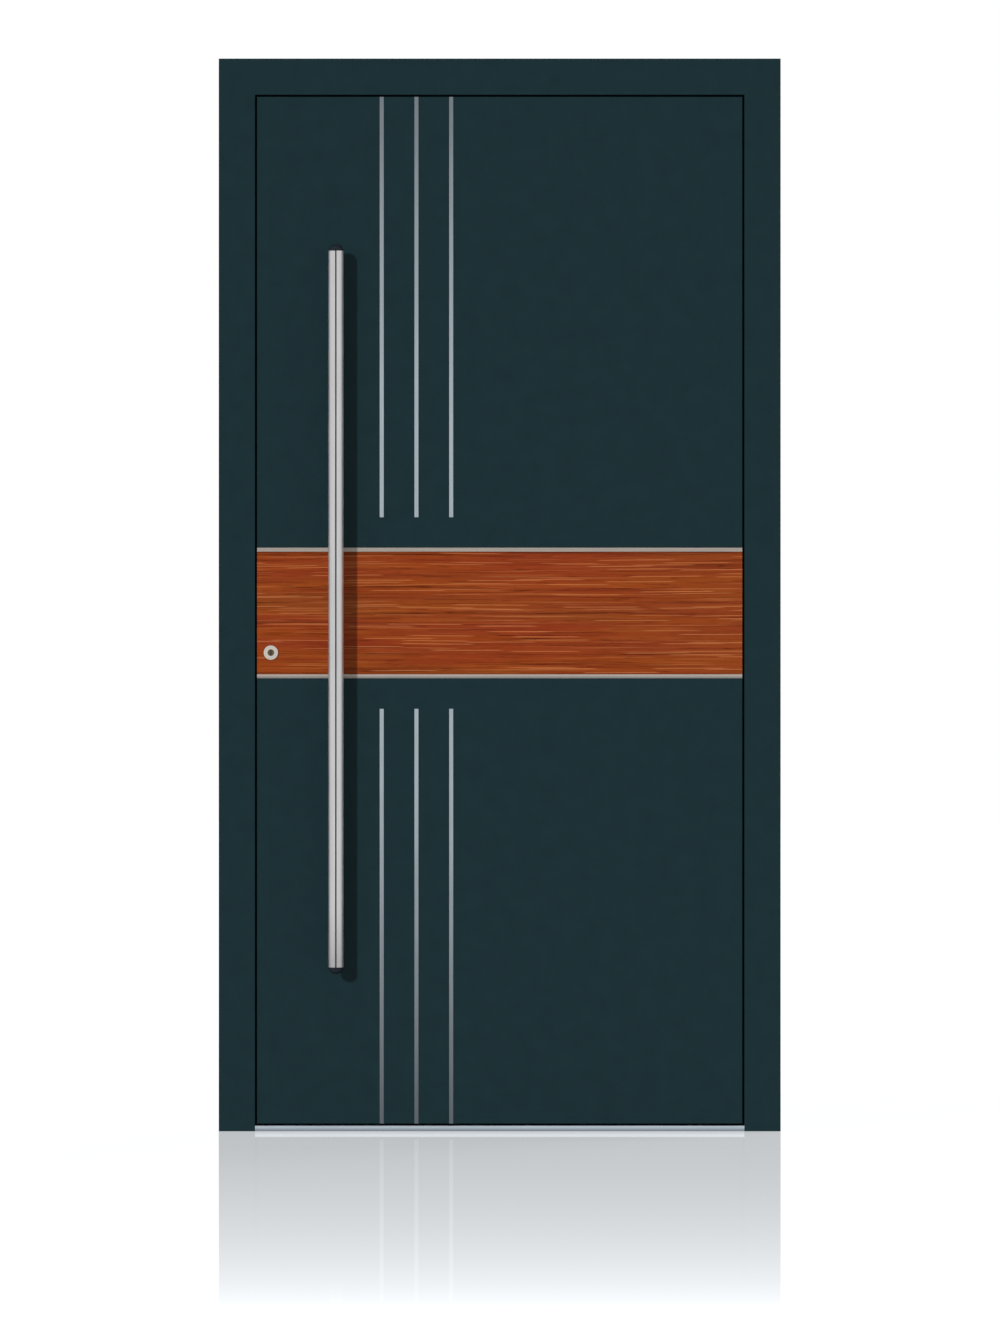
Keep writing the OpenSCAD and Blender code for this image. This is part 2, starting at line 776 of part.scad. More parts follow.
// Pin with a domed head on each end of the barrel
module hinge_pins() {
    dome_r = (pow(barrel_r, 2) + pow(pin_head_h, 2)) / (2 * pin_head_h);
    color(coat) translate([hinge_x, hinge_y, 0]) for (z = hinge_heights) {
        translate([0, 0, z - hinge_h / 2]) cylinder(d = pin_d, h = hinge_h);
        for (turn = [0, 180])
            translate([0, 0, z]) rotate([turn, 0, 0]) intersection() {
                translate([0, 0, hinge_h / 2 + pin_head_h - dome_r]) sphere(dome_r);
                translate([0, 0, hinge_h / 2]) cylinder(r = barrel_r + over, h = pin_head_h + over);
            }
    }
}

module hinge_leaf_parts() {
    bore_r = pin_d / 2 + running + bush_wall + slip;
    color(coat) translate([hinge_x, hinge_y, 0]) mirror([1, 0, 0]) for (z = hinge_heights) {
        hinge_plate(z);
        knuckle(z - leaf_knuckle_h / 2, leaf_knuckle_h, bore_r);
    }
}

// Two flanged bushes in each of the leaf's knuckles, which carry the leaf on the frame's
module hinge_bushes() {
    bush_r = pin_d / 2 + running + bush_wall;
    color(plastic_black) translate([hinge_x, hinge_y, 0]) for (z = hinge_heights, side = [-1, 1])
        translate([0, 0, z]) mirror([0, 0, side > 0 ? 0 : 1]) difference() {
            union() {
                translate([0, 0, room]) cylinder(r = bush_r, h = leaf_knuckle_h / 2);
                translate([0, 0, leaf_knuckle_h / 2 + slip]) cylinder(r = barrel_r, h = bush_flange_t);
            }
            cylinder(d = pin_d + 2 * running, h = leaf_knuckle_h);
        }
}

// Leaf

module leaf_outer_section() {
    shell(lap, stile_w, y_facing, y_leaf_out, leaf_bars, true, 0, 0);
}

module leaf_inner_section() {
    shell(0, stile_w, y_flange, y_liner, leaf_bars, false, 0, 0);
}

// Inner shell with a groove for the lock's faceplate along its edge
module lock_stile_section() {
    groove_y = faceplate_w / 2 + slip;
    difference() {
        union() {
            leaf_inner_section();
            rect(0, y_lock - groove_y - wall, faceplate_t + wall, y_lock + groove_y + wall);
        }
        rect(-over, y_lock - groove_y, faceplate_t, y_lock + groove_y);
    }
}

// Bore for the key cylinder through everything from the band to the lock case
module key_bore() {
    along_y(key_x, key_z, cylinder_d / 2 + slip, y_front - over, case_y0);
}

module lock_stile_outer_profile() {
    color(coat) difference() {
        mitred_upright(flange_half, leaf_bottom, flange_top, stile_w, 0) leaf_outer_section();
        key_bore();
    }
}

module lock_stile_inner_profile() {
    case_side = case_t / 2 + slip;
    slot_x = [case_front - over, case_front + wall + over];
    color(coat) difference() {
        mitred_upright(flange_half, flange_bottom, flange_top, stile_w, 0) lock_stile_section();
        key_bore();
        along_y(key_x, key_z, tail_hole_r, y_liner - wall - over, y_liner + over);
        along_y(key_x, lever_z, spindle_hole_r, y_liner - wall - over, y_liner + over);
        block([slot_x[0], y_lock - case_side, case_bottom - slip],
              [slot_x[1], y_lock + case_side, case_top + slip]);
        for (z = aux_heights)
            block([slot_x[0], y_lock - case_side, z - aux_h / 2 - slip],
                  [slot_x[1], y_lock + case_side, z + aux_h / 2 + slip]);
    }
}

module hinge_stile_outer_profile() {
    color(coat) mirror([1, 0, 0])
        mitred_upright(flange_half, leaf_bottom, flange_top, stile_w, 0) leaf_outer_section();
}

module hinge_stile_inner_profile() {
    color(coat) mirror([1, 0, 0])
        mitred_upright(flange_half, flange_bottom, flange_top, stile_w, 0) leaf_inner_section();
}

module top_rail_outer_profile() {
    color(coat) mitred_head(flange_half, flange_top, stile_w) leaf_outer_section();
}

module top_rail_inner_profile() {
    color(coat) mitred_head(flange_half, flange_top, stile_w) leaf_inner_section();
}

module bottom_rail_outer_profile() {
    color(coat) square_rail(core_half, flange_bottom)
        shell(leaf_bottom - flange_bottom, bottom_rail_h, y_facing, y_leaf_out, rail_bars, true, 0, 0);
}

module bottom_rail_inner_profile() {
    color(coat) square_rail(core_half, flange_bottom) difference() {
        union() {
            shell(0, bottom_rail_h, y_flange, y_liner, rail_bars, false, 0, 0);
            translate([0, y_lock]) rotate(-90) ridge(seal_foot_w, seal_boss_d);
        }
        translate([0, y_lock]) rotate(-90) seal_groove();
    }
}

module leaf_thermal_bars() {
    color(plastic_black) difference() {
        union() {
            for (u = leaf_bars) {
                both_sides() mitred_upright(flange_half, leaf_bottom, flange_top, stile_w, slip)
                    thermal_bar(u, y_leaf_out, y_flange);
                mitred_head(flange_half, flange_top, stile_w) thermal_bar(u, y_leaf_out, y_flange);
            }
            for (u = rail_bars)
                square_rail(core_half, flange_bottom) thermal_bar(u, y_leaf_out, y_flange);
        }
        key_bore();
    }
}

module leaf_corner_cleats() {
    inset = wall + slip;
    block_low = seal_boss_d + slip;
    color(zinc) {
        corner_cleat(flange_half, flange_top, lap + inset, lap + inset, stile_w - inset,
                     y_facing + inset, y_leaf_out - boss_d - slip);
        corner_cleat(flange_half, flange_top, faceplate_t + inset, inset, stile_w - inset,
                     y_flange + boss_d + slip, y_liner - inset);
        both_sides() block([-core_half, y_flange + boss_d + slip, flange_bottom + block_low],
                           [rail_block_len - core_half, y_liner - inset, core_bottom - inset]);
    }
}

module insulating_core() {
    color(foam) difference() {
        block([-core_half, y_facing, core_bottom], [core_half, y_liner, core_top]);
        backing_plates(over);
        post_spigots(slip);
    }
}

module facing_sheet(z0, z1, low, high) {
    difference() {
        panel(-leaf_half, leaf_half, z0, z1, y_front, y_facing, edge_bevel, 0);
        inlay_strips(y_front - over, low, high);
        post_spigots(slip);
    }
}

// Inlay strips, or the grooves for them
module inlay_strips(y0, z0, z1) {
    for (x = strip_xs)
        block([x - strip_w / 2, y0, z0], [x + strip_w / 2, y_front + strip_groove_d, z1]);
}

module upper_outer_sheet() {
    color(coat) facing_sheet(upper_sheet_bottom, leaf_top,
                             upper_sheet_bottom + strip_end_gap, leaf_top + over);
}

module lower_outer_sheet() {
    color(coat) facing_sheet(leaf_bottom, lower_sheet_top,
                             leaf_bottom - over, lower_sheet_top - strip_end_gap);
}

module upper_inlay_strips() {
    color(steel) for (x = strip_xs)
        panel(x - strip_w / 2, x + strip_w / 2, upper_sheet_bottom + strip_end_gap, leaf_top,
              y_front - trim_proud, y_front + strip_groove_d, trim_proud / 2, 0);
}

module lower_inlay_strips() {
    color(steel) for (x = strip_xs)
        panel(x - strip_w / 2, x + strip_w / 2, leaf_bottom, lower_sheet_top - strip_end_gap,
              y_front - trim_proud, y_front + strip_groove_d, trim_proud / 2, 0);
}

module timber_band() {
    color(timber) difference() {
        panel(-leaf_half, leaf_half, band_bottom, band_top, y_front, y_facing, edge_bevel / 2, 0);
        key_bore();
    }
}

module band_trim(z0) {
    panel(-leaf_half, leaf_half, z0, z0 + trim_h, y_front - trim_proud, y_facing, trim_proud, 0);
}

module upper_band_trim() {
    color(steel) band_trim(band_top);
}

module lower_band_trim() {
    color(steel) band_trim(lower_sheet_top);
}

module inner_sheet() {
    color(coat) difference() {
        panel(-flange_half, flange_half, flange_bottom, flange_top, y_liner, y_back, 0, edge_bevel);
        along_y(key_x, key_z, tail_hole_r, y_liner - over, y_back + over);
        along_y(key_x, lever_z, spindle_hole_r, y_liner - over, y_back + over);
    }
}

// Two lips on a carrier under the leaf, with a foot in the bottom rail's groove
module sill_lip_seal() {
    half_seal = sill_seal_w / 2;
    color(plastic_black) {
        square_rail(flange_half - over, flange_bottom) {
            rect(-seal_carrier_t, y_lock - half_seal, 0, y_lock + half_seal);
            for (y = [y_lock - half_seal, y_lock + half_seal - seal_wall])
                rect(room - deck_gap, y, 0, y + seal_wall);
        }
        square_rail(core_half - slip, flange_bottom) {
            rect(-seal_carrier_t, y_lock - seal_neck_w / 2,
                 groove_lip + seal_foot_t, y_lock + seal_neck_w / 2);
            rect(groove_lip, y_lock - seal_foot_w / 2,
                 groove_lip + seal_foot_t, y_lock + seal_foot_w / 2);
        }
    }
}

// Pull bar

// Tube with a shadow groove down its front and holes for the posts in its back
module pull_bar_tube() {
    color(steel) difference() {
        translate([bar_x, bar_y, bar_z - bar_len / 2]) difference() {
            cylinder(d = bar_d, h = bar_len);
            translate([0, 0, -over]) cylinder(d = bar_d - 2 * bar_wall, h = bar_len + 2 * over);
            translate([0, -bar_d / 2, -over]) linear_extrude(bar_len + 2 * over)
                polygon([[-bar_groove_w / 2, 0], [-bar_groove_w / 2, -over],
                         [bar_groove_w / 2, -over], [bar_groove_w / 2, 0], [0, bar_groove_d]]);
        }
        for (z = post_heights)
            along_y(bar_x, z, spigot_d / 2 + slip, bar_y, bar_y + bar_d / 2 + over);
    }
}

// Domed caps with plugs in the tube's ends
module pull_bar_end_caps() {
    r = bar_d / 2;
    dome_r = (r * r + cap_h * cap_h) / (2 * cap_h);
    color(plastic_black) translate([bar_x, bar_y, bar_z]) for (turn = [0, 180]) rotate([turn, 0, 0]) {
        intersection() {
            translate([0, 0, bar_len / 2 + cap_h - dome_r]) sphere(dome_r);
            translate([0, 0, bar_len / 2]) cylinder(r = r + over, h = cap_h + over);
        }
        translate([0, 0, bar_len / 2 - cap_plug_len])
            cylinder(r = r - bar_wall - slip, h = cap_plug_len);
    }
}

module post_spigots(extra) {
    for (z = post_heights)
        along_y(bar_x, z, spigot_d / 2 + extra, y_front - over, y_facing + backing_t + extra);
}

// Posts with a tapered foot on the leaf, saddled to the tube, and a spigot at each end
module pull_bar_posts() {
    color(steel) for (z = post_heights) {
        difference() {
            union() {
                along_y(bar_x, z, post_d / 2, bar_y, y_front);
                translate([bar_x, y_front, z]) rotate([90, 0, 0])
                    cylinder(d1 = post_foot_d, d2 = post_d, h = post_foot_h);
            }
            translate([bar_x, bar_y, z - post_foot_d])
                cylinder(r = bar_d / 2 + running, h = 2 * post_foot_d);
        }
        along_y(bar_x, z, spigot_d / 2, bar_y + bar_d / 2 - bar_wall - over, y_facing + backing_t);
    }
}

// Steel plates behind the facing, or the pockets for them in the core
module backing_plates(front) {
    for (z = post_heights)
        block([bar_x - backing_w / 2, y_facing - front, z - backing_h / 2],
              [bar_x + backing_w / 2, y_facing + backing_t, z + backing_h / 2]);
}

module pull_bar_backing_plates() {
    color(zinc) difference() {
        backing_plates(0);
        post_spigots(slip);
    }
}

// Lock

// Ring on the band, coned towards its front
module key_collar() {
    color(steel) translate([key_x, y_front, key_z]) rotate([90, 0, 0]) difference() {
        cylinder(d1 = collar_d, d2 = collar_d - 2 * collar_taper, h = collar_h);
        translate([0, 0, -over]) cylinder(d = cylinder_d + 2 * slip, h = collar_h + 2 * over);
    }
}

module key_cylinder_body() {
    color(steel) difference() {
        along_y(key_x, key_z, cylinder_d / 2, y_front - collar_h, case_y0);
        along_y(key_x, key_z, plug_d / 2 + running, y_front - collar_h - over, case_y0 + over);
    }
}

// Lock case, open towards the faceplate, with slots for the drive rods in its ends
module lock_case(z0, z1, x1, low_slot, high_slot) {
    inside = case_t / 2 - case_wall;
    difference() {
        block([case_front, case_y0, z0], [x1, case_y1, z1]);
        block([case_front - over, y_lock - inside, z0 + case_wall],
              [x1 - case_wall, y_lock + inside, z1 - case_wall]);
        if (low_slot) rod(z0 - over, z0 + case_wall + over, slip);
        if (high_slot) rod(z1 - case_wall - over, z1 + over, slip);
    }
}

module rod(z0, z1, extra) {
    block([rod_x - extra, y_lock - rod_w / 2 - extra, z0],
          [rod_x + rod_t + extra, y_lock + rod_w / 2 + extra, z1]);
}

module main_lock_case() {
    color(zinc) difference() {
        lock_case(case_bottom, case_top, case_back, true, true);
        along_y(key_x, key_z, cam_hub_r + running, case_y0 - over, case_y1 + over);
        along_y(key_x, lever_z, follower_hub_r + running, case_y0 - over, case_y1 + over);
    }
}

module auxiliary_lock_cases() {
    color(zinc) {
        lock_case(aux_heights[0] - aux_h / 2, aux_heights[0] + aux_h / 2, case_front + aux_d, false, true);
        lock_case(aux_heights[1] - aux_h / 2, aux_heights[1] + aux_h / 2, case_front + aux_d, true, false);
    }
}

module lock_faceplate() {
    side = bolt_t / 2 + room;
    screw_zs = [for (z = aux_heights, end = [-1, 1]) z + end * (aux_h / 2 + strike_end / 2)];
    color(steel) difference() {
        lock_plate(edge_x, case_front, faceplate_bottom, faceplate_top);
        block([edge_x - over, y_lock - side, latch_z - latch_h / 2 - room],
              [case_front + over, y_lock + side, latch_z + latch_h / 2 + room]);
        block([edge_x - over, y_lock - side, bolt_z - bolt_h / 2 - room],
              [case_front + over, y_lock + side, bolt_z + bolt_h / 2 + room]);
        for (z = aux_heights)
            along_x(y_lock, z, bolt_t / 2 + room, edge_x - over, case_front + over);
        for (z = screw_zs)
            translate([edge_x, y_lock, z]) rotate([0, -90, 0]) countersink(faceplate_t);
    }
}

// Latch: bevelled head, and a tail over the follower's arm with a lug behind the arm's tip
module latch_bolt() {
    y0 = y_lock - bolt_t / 2;
    y1 = y_lock + bolt_t / 2;
    tip = edge_x - latch_throw;
    color(steel) {
        translate([0, 0, latch_z - latch_h / 2]) linear_extrude(latch_h)
            polygon([[tip, y1], [tip, y1 - latch_tip_t], [edge_x - latch_straight, y0],
                     [edge_x + latch_body, y0], [edge_x + latch_body, y1]]);
        block([edge_x + latch_body - over, y0, tail_bottom], [lug_x + lug_w, y1, tail_bottom + tail_h]);
        block([lug_x, y0, lug_bottom], [lug_x + lug_w, y1, tail_bottom + over]);
    }
}

// Flat bolt with its front flush with the faceplate
module dead_bolt() {
    color(steel) block([edge_x, y_lock - bolt_t / 2, bolt_z - bolt_h / 2],
                       [edge_x + bolt_len, y_lock + bolt_t / 2, bolt_z + bolt_h / 2]);
}

// Round bolts with a coned nose
module auxiliary_bolts() {
    color(steel) for (z = aux_heights) {
        along_x(y_lock, z, bolt_t / 2, edge_x + bolt_nose, edge_x + bolt_len);
        translate([edge_x + bolt_nose, y_lock, z]) rotate([0, -90, 0])
            cylinder(d1 = bolt_t, d2 = bolt_t - bolt_nose, h = bolt_nose);
    }
}

// Rods from the main lock case into the auxiliary ones, drawn at their lowest
module drive_rods() {
    hold = rod_travel + rod_dip;
    color(zinc) {
        rod(aux_heights[0] + aux_h / 2 - hold, case_bottom + rod_dip, 0);
        rod(case_top - hold, aux_heights[1] - aux_h / 2 + rod_dip, 0);
    }
}

// Plug with its keyway, cam and the square tail that the thumb turn sits on
module key_plug() {
    plug_front = y_front - collar_h + plug_recess;
    color(steel) difference() {
        union() {
            along_y(key_x, key_z, plug_d / 2, plug_front, case_y0);
            along_y(key_x, key_z, min(plug_d / 2, cam_hub_r), case_y0 - over, case_y0 + over);
            along_y(key_x, key_z, cam_hub_r, case_y0, case_y1);
            block([key_x - cam_w / 2, y_lock - cam_t / 2, key_z - cam_r],
                  [key_x + cam_w / 2, y_lock + cam_t / 2, key_z]);
            block([key_x - tail_side / 2, y_lock, key_z - tail_side / 2],
                  [key_x + tail_side / 2, tail_end, key_z + tail_side / 2]);
        }
        block([key_x - keyway_w / 2, plug_front - over, key_z - keyway_h / 2],
              [key_x + keyway_w / 2, plug_front + keyway_d, key_z + keyway_h / 2]);
    }
}

// Inside handles

module rose(z, bore_r) {
    color(steel) translate([key_x, y_back, z]) rotate([-90, 0, 0]) difference() {
        union() {
            cylinder(d = rose_d, h = rose_t - rose_bevel);
            translate([0, 0, rose_t - rose_bevel])
                cylinder(d1 = rose_d, d2 = rose_d - 2 * rose_bevel, h = rose_bevel);
        }
        translate([0, 0, -over]) cylinder(r = bore_r, h = rose_t + 2 * over);
    }
}

module lever_rose() {
    rose(lever_z, lever_d / 2 + running);
}

module thumb_turn_rose() {
    rose(key_z, thumb_stem_d / 2 + running);
}

// Round lever: neck out of the rose, quarter bend and grip with a bevelled end
module lever_handle() {
    neck_y = y_back + lever_reach - lever_bend_r;
    grip_y = y_back + lever_reach;
    grip_x1 = key_x + lever_len;
    socket = spindle_side / 2 + running;
    color(steel) difference() {
        union() {
            along_y(key_x, lever_z, lever_d / 2, y_back + room, neck_y);
            translate([key_x + lever_bend_r, neck_y, lever_z]) rotate([0, 0, 90])
                rotate_extrude(angle = 90) translate([lever_bend_r, 0]) circle(d = lever_d);
            along_x(grip_y, lever_z, lever_d / 2, key_x + lever_bend_r, grip_x1 - lever_bevel);
            translate([grip_x1 - lever_bevel, grip_y, lever_z]) rotate([0, 90, 0])
                cylinder(d1 = lever_d, d2 = lever_d - 2 * lever_bevel, h = lever_bevel);
        }
        block([key_x - socket, y_back - over, lever_z - socket],
              [key_x + socket, spindle_end, lever_z + socket]);
    }
}

module lever_spindle() {
    half = spindle_side / 2;
    color(zinc) block([key_x - half, case_y0, lever_z - half],
                      [key_x + half, spindle_end, lever_z + half]);
}

// Hub on the spindle with an arm that draws the latch, leaning towards the faceplate at rest
module latch_follower() {
    socket = spindle_side / 2 + running;
    arm_y0 = y_lock - cam_t / 2;
    arm_y1 = y_lock + cam_t / 2;
    color(zinc) difference() {
        union() {
            along_y(key_x, lever_z, follower_hub_r, case_y0, case_y1);
            translate([key_x, 0, lever_z]) rotate([0, -lever_turn / 2, 0]) {
                block([-follower_tip_r, arm_y0, 0], [follower_tip_r, arm_y1, follower_r]);
                along_y(0, follower_r, follower_tip_r, arm_y0, arm_y1);
            }
        }
        block([key_x - socket, case_y0 - over, lever_z - socket],
              [key_x + socket, case_y1 + over, lever_z + socket]);
    }
}

// Stem in the rose and a flat grip with rounded ends
module thumb_turn() {
    socket = tail_side / 2 + running;
    grip_y0 = y_back + rose_t + room;
    color(steel) difference() {
        union() {
            along_y(key_x, key_z, thumb_stem_d / 2, y_back + room, y_back + rose_t + over);
            intersection() {
                along_y(key_x, key_z, thumb_w / 2, grip_y0, y_back + thumb_reach);
                block([key_x - thumb_w, grip_y0 - over, key_z - thumb_t / 2],
                      [key_x + thumb_w, y_back + thumb_reach + over, key_z + thumb_t / 2]);
            }
        }
        block([key_x - socket, y_back - over, key_z - socket],
              [key_x + socket, tail_end + running, key_z + socket]);
    }
}

head_outer_profile();
head_inner_profile();
lock_jamb_outer_profile();
lock_jamb_inner_profile();
hinge_jamb_outer_profile();
hinge_jamb_inner_profile();
frame_thermal_bars();
frame_corner_cleats();
threshold_outer_rail();
threshold_thermal_core();
threshold_inner_rail();
frame_stop_seal();
main_strike_plate();
auxiliary_strike_plates();
hinge_frame_parts();
hinge_pins();
lock_stile_outer_profile();
lock_stile_inner_profile();
hinge_stile_outer_profile();
hinge_stile_inner_profile();
top_rail_outer_profile();
top_rail_inner_profile();
bottom_rail_outer_profile();
bottom_rail_inner_profile();
leaf_thermal_bars();
leaf_corner_cleats();
insulating_core();
upper_outer_sheet();
lower_outer_sheet();
timber_band();
upper_band_trim();
lower_band_trim();
upper_inlay_strips();
lower_inlay_strips();
inner_sheet();
sill_lip_seal();
pull_bar_tube();
pull_bar_end_caps();
pull_bar_posts();
pull_bar_backing_plates();
key_collar();
key_cylinder_body();
main_lock_case();
auxiliary_lock_cases();
lock_faceplate();
lever_rose();
thumb_turn_rose();
hinge_leaf_parts();
hinge_bushes();
lever_handle();
lever_spindle();
latch_follower();
latch_bolt();
key_plug();
thumb_turn();
dead_bolt();
auxiliary_bolts();
drive_rods();
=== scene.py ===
import json

import bpy
import numpy as np
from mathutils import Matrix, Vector


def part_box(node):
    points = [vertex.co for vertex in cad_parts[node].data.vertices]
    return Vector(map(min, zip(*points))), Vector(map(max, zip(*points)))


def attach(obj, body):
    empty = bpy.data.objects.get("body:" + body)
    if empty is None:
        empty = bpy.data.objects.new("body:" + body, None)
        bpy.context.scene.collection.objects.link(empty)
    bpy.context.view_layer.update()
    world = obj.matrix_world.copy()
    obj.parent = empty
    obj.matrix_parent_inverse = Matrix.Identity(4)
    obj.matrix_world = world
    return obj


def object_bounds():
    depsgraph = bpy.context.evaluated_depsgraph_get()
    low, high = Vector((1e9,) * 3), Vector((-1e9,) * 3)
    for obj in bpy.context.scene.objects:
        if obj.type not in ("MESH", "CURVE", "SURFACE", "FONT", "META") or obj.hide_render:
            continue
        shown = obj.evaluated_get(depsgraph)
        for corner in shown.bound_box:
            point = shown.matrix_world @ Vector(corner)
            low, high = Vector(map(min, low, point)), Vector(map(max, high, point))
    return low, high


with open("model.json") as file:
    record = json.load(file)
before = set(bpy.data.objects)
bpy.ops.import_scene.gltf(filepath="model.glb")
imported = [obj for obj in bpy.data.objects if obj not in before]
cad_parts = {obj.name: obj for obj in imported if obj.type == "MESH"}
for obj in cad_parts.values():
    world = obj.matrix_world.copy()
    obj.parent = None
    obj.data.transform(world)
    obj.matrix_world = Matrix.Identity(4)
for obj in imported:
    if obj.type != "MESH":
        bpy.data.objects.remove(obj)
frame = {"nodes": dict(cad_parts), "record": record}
cad_low, cad_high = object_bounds()


# Powder-coated aluminium: the frame's profiles, the leaf's profiles, its sheets and the hinges.
# The extrusions and sheets are degreased, sprayed with one dark blue-green powder and baked,
# which leaves a fine-textured, nearly matt skin with a faint orange peel.

COAT_DEEP = (0.0066, 0.0195, 0.0236)
COAT_PALE = (0.0100, 0.0271, 0.0322)


class Wire:
    """An output socket among a material's nodes. Arithmetic with wires and numbers adds Math nodes."""

    def __init__(self, socket):
        self.socket = socket

    @classmethod
    def new(cls, tree, kind, settings, inputs, out=0):
        """Adds one node: first its settings, then a value or a wire on each input. Gives one output."""
        added = tree.nodes.new("ShaderNode" + kind)
        for setting, choice in settings.items():
            setattr(added, setting, choice)
        feed(added, inputs)
        return cls(added.outputs[out])

    def node(self, kind, settings, inputs, out=0):
        """Adds one node to the nodes that this wire belongs to."""
        return Wire.new(self.socket.id_data, kind, settings, inputs, out)

    def math(self, operation, other=0.0):
        """A Math node of this value and another wire or number."""
        return self.node("Math", {"operation": operation}, {0: self, 1: other})

    def __add__(self, other):
        return self.math("ADD", other)

    def __sub__(self, other):
        return self.math("SUBTRACT", other)

    def __rsub__(self, other):
        return self.node("Math", {"operation": "SUBTRACT"}, {0: other, 1: self})

    def __mul__(self, other):
        return self.math("MULTIPLY", other)

    __radd__ = __add__
    __rmul__ = __mul__

    def axis(self, name):
        """One coordinate of this place: X, Y or Z."""
        return self.node("SeparateXYZ", {}, {"Vector": self}, out=name)

    def step(self, low, high):
        """A soft step from 0 at low to 1 at high, or falling where low lies above high."""
        limits = {"Value": self, "From Min": low, "From Max": high}
        return self.node("MapRange", {"interpolation_type": "SMOOTHSTEP"}, limits)

    def layer(self, none, full, weight):
        """A layer's weight where this value lies at full, easing to 0 where it lies at none."""
        return self.step(none, full) * weight

    def ranged(self, first, last):
        """A number that runs from first, where this value is 0, to last, where it is 1."""
        return self * (last - first) + first

    def blended(self, other, share):
        """This value with a share of another one in it."""
        return self * (1 - share) + other * share

    def between(self, first, second):
        """The colour that lies this share of the way from the first colour to the second."""
        colours = {0: self, 6: first, 7: second}
        return self.node("Mix", {"data_type": "RGBA"}, colours, out=2)

    def tint(self, first, second, low=0.3, high=0.7):
        """From one colour to another as this noise rises through the middle of its range."""
        return self.step(low, high).between(first, second)

    def noise(self, per_metre, shift=0.0, detail=2.0, rough=0.5):
        """Smooth noise over these coordinates, with so many grains to the metre along X, Y and Z."""
        scale = per_metre if isinstance(per_metre, tuple) else (per_metre,) * 3
        scaled = self.node("Mapping", {}, {"Vector": self, "Scale": scale, "Location": (shift,) * 3})
        grain = {"Vector": scaled, "Scale": 1.0, "Detail": detail, "Roughness": rough}
        return self.node("TexNoise", {}, grain)

    def bump(self, depth, strength):
        """A normal that tilts with this height, whose full range is so deep in metres."""
        relief = {"Height": self, "Distance": depth, "Strength": strength}
        return self.node("Bump", {}, relief)


def feed(node, inputs):
    """Puts a number or colour on each named input of a node, or links a wire to it."""
    for name, value in inputs.items():
        socket = node.inputs[name]
        if isinstance(value, Wire):
            node.id_data.links.new(value.socket, socket)
        elif isinstance(value, tuple) and len(socket.default_value) > len(value):
            socket.default_value = (*value, 1.0)
        else:
            socket.default_value = value


def new_finish(name):
    """A new material, its shader node and a wire with the object's own coordinates in metres."""
    material = bpy.data.materials.new(name)
    material.use_nodes = True
    tree = material.node_tree
    place = Wire.new(tree, "TexCoord", {}, {}, out="Object")
    return material, tree.nodes["Principled BSDF"], place


def dress(material, *names):
    """Puts a material on the slot of each named part of the frame."""
    for name in names:
        frame["nodes"][name].data.materials[0] = material


def powder_coat(name):
    """Two near shades by a fine, slightly cloudy grain, and the bump of that grain on an orange peel."""
    material, shader, place = new_finish(name)
    cloud = place.noise(per_metre=26.0, detail=3.0)
    peel = place.noise(per_metre=420.0, shift=3.1)
    grain = place.noise(per_metre=1900.0, shift=7.7, detail=1.0)
    feed(shader, {
        "Base Color": grain.blended(cloud, share=0.3).tint(COAT_DEEP, COAT_PALE),
        "Roughness": grain.ranged(0.46, 0.62),
        "Specular IOR Level": 0.08,
        "Normal": grain.blended(peel, share=0.6).bump(depth=0.00025, strength=0.40),
    })
    return material


dress(powder_coat("anthracite_powder_coat"),
      "head_outer_profile", "head_inner_profile", "lock_jamb_outer_profile", "lock_jamb_inner_profile",
      "hinge_jamb_outer_profile", "hinge_jamb_inner_profile", "lock_stile_outer_profile",
      "lock_stile_inner_profile", "hinge_stile_outer_profile", "hinge_stile_inner_profile",
      "top_rail_outer_profile", "top_rail_inner_profile", "bottom_rail_outer_profile",
      "bottom_rail_inner_profile", "upper_outer_sheet", "lower_outer_sheet", "inner_sheet",
      "hinge_frame_parts", "hinge_leaf_parts", "hinge_pins")


# Plastic bars and bushes: glass-filled black nylon, extruded or moulded.
# The bars are rolled into the grooves of both shells and keep the cold from passing through,
# the threshold's core does the same, and the bushes carry the hinges' knuckles.

NYLON_BLACK = (0.010, 0.010, 0.011)
NYLON_FIBRE = (0.030, 0.030, 0.031)


def filled_nylon(name):
    """Black with pale short fibres, drawn by a noise that is stretched along the bars."""
    material, shader, place = new_finish(name)
    fibre = place.noise(per_metre=(900.0, 900.0, 120.0), detail=3.0, rough=0.65)
    feed(shader, {
        "Base Color": fibre.tint(NYLON_BLACK, NYLON_FIBRE, low=0.55, high=0.75),
        "Roughness": fibre.ranged(0.42, 0.62),
        "Specular IOR Level": 0.3,
        "Normal": fibre.bump(depth=0.00008, strength=0.25),
    })
    return material


dress(filled_nylon("black_nylon"), "frame_thermal_bars", "leaf_thermal_bars",
      "threshold_thermal_core", "hinge_bushes")


# Cleats, lock cases and drive rods: zinc-plated steel and zinc castings inside the profiles.
# The plating is passivated, which leaves faint yellow and blue clouds on a grey ground.

ZINC_WARM = (0.46, 0.43, 0.36)
ZINC_COOL = (0.40, 0.43, 0.46)


def zinc_plate(name):
    """Warm and cool clouds of passivated zinc, with small spangles in the roughness and the bump."""
    material, shader, place = new_finish(name)
    cloud = place.noise(per_metre=45.0, detail=3.0)
    spangle = place.noise(per_metre=700.0, shift=5.3)
    feed(shader, {
        "Base Color": cloud.tint(ZINC_WARM, ZINC_COOL, low=0.35, high=0.65),
        "Metallic": 1.0,
        "Roughness": spangle.ranged(0.30, 0.50),
        "Normal": spangle.bump(depth=0.00005, strength=0.2),
    })
    return material


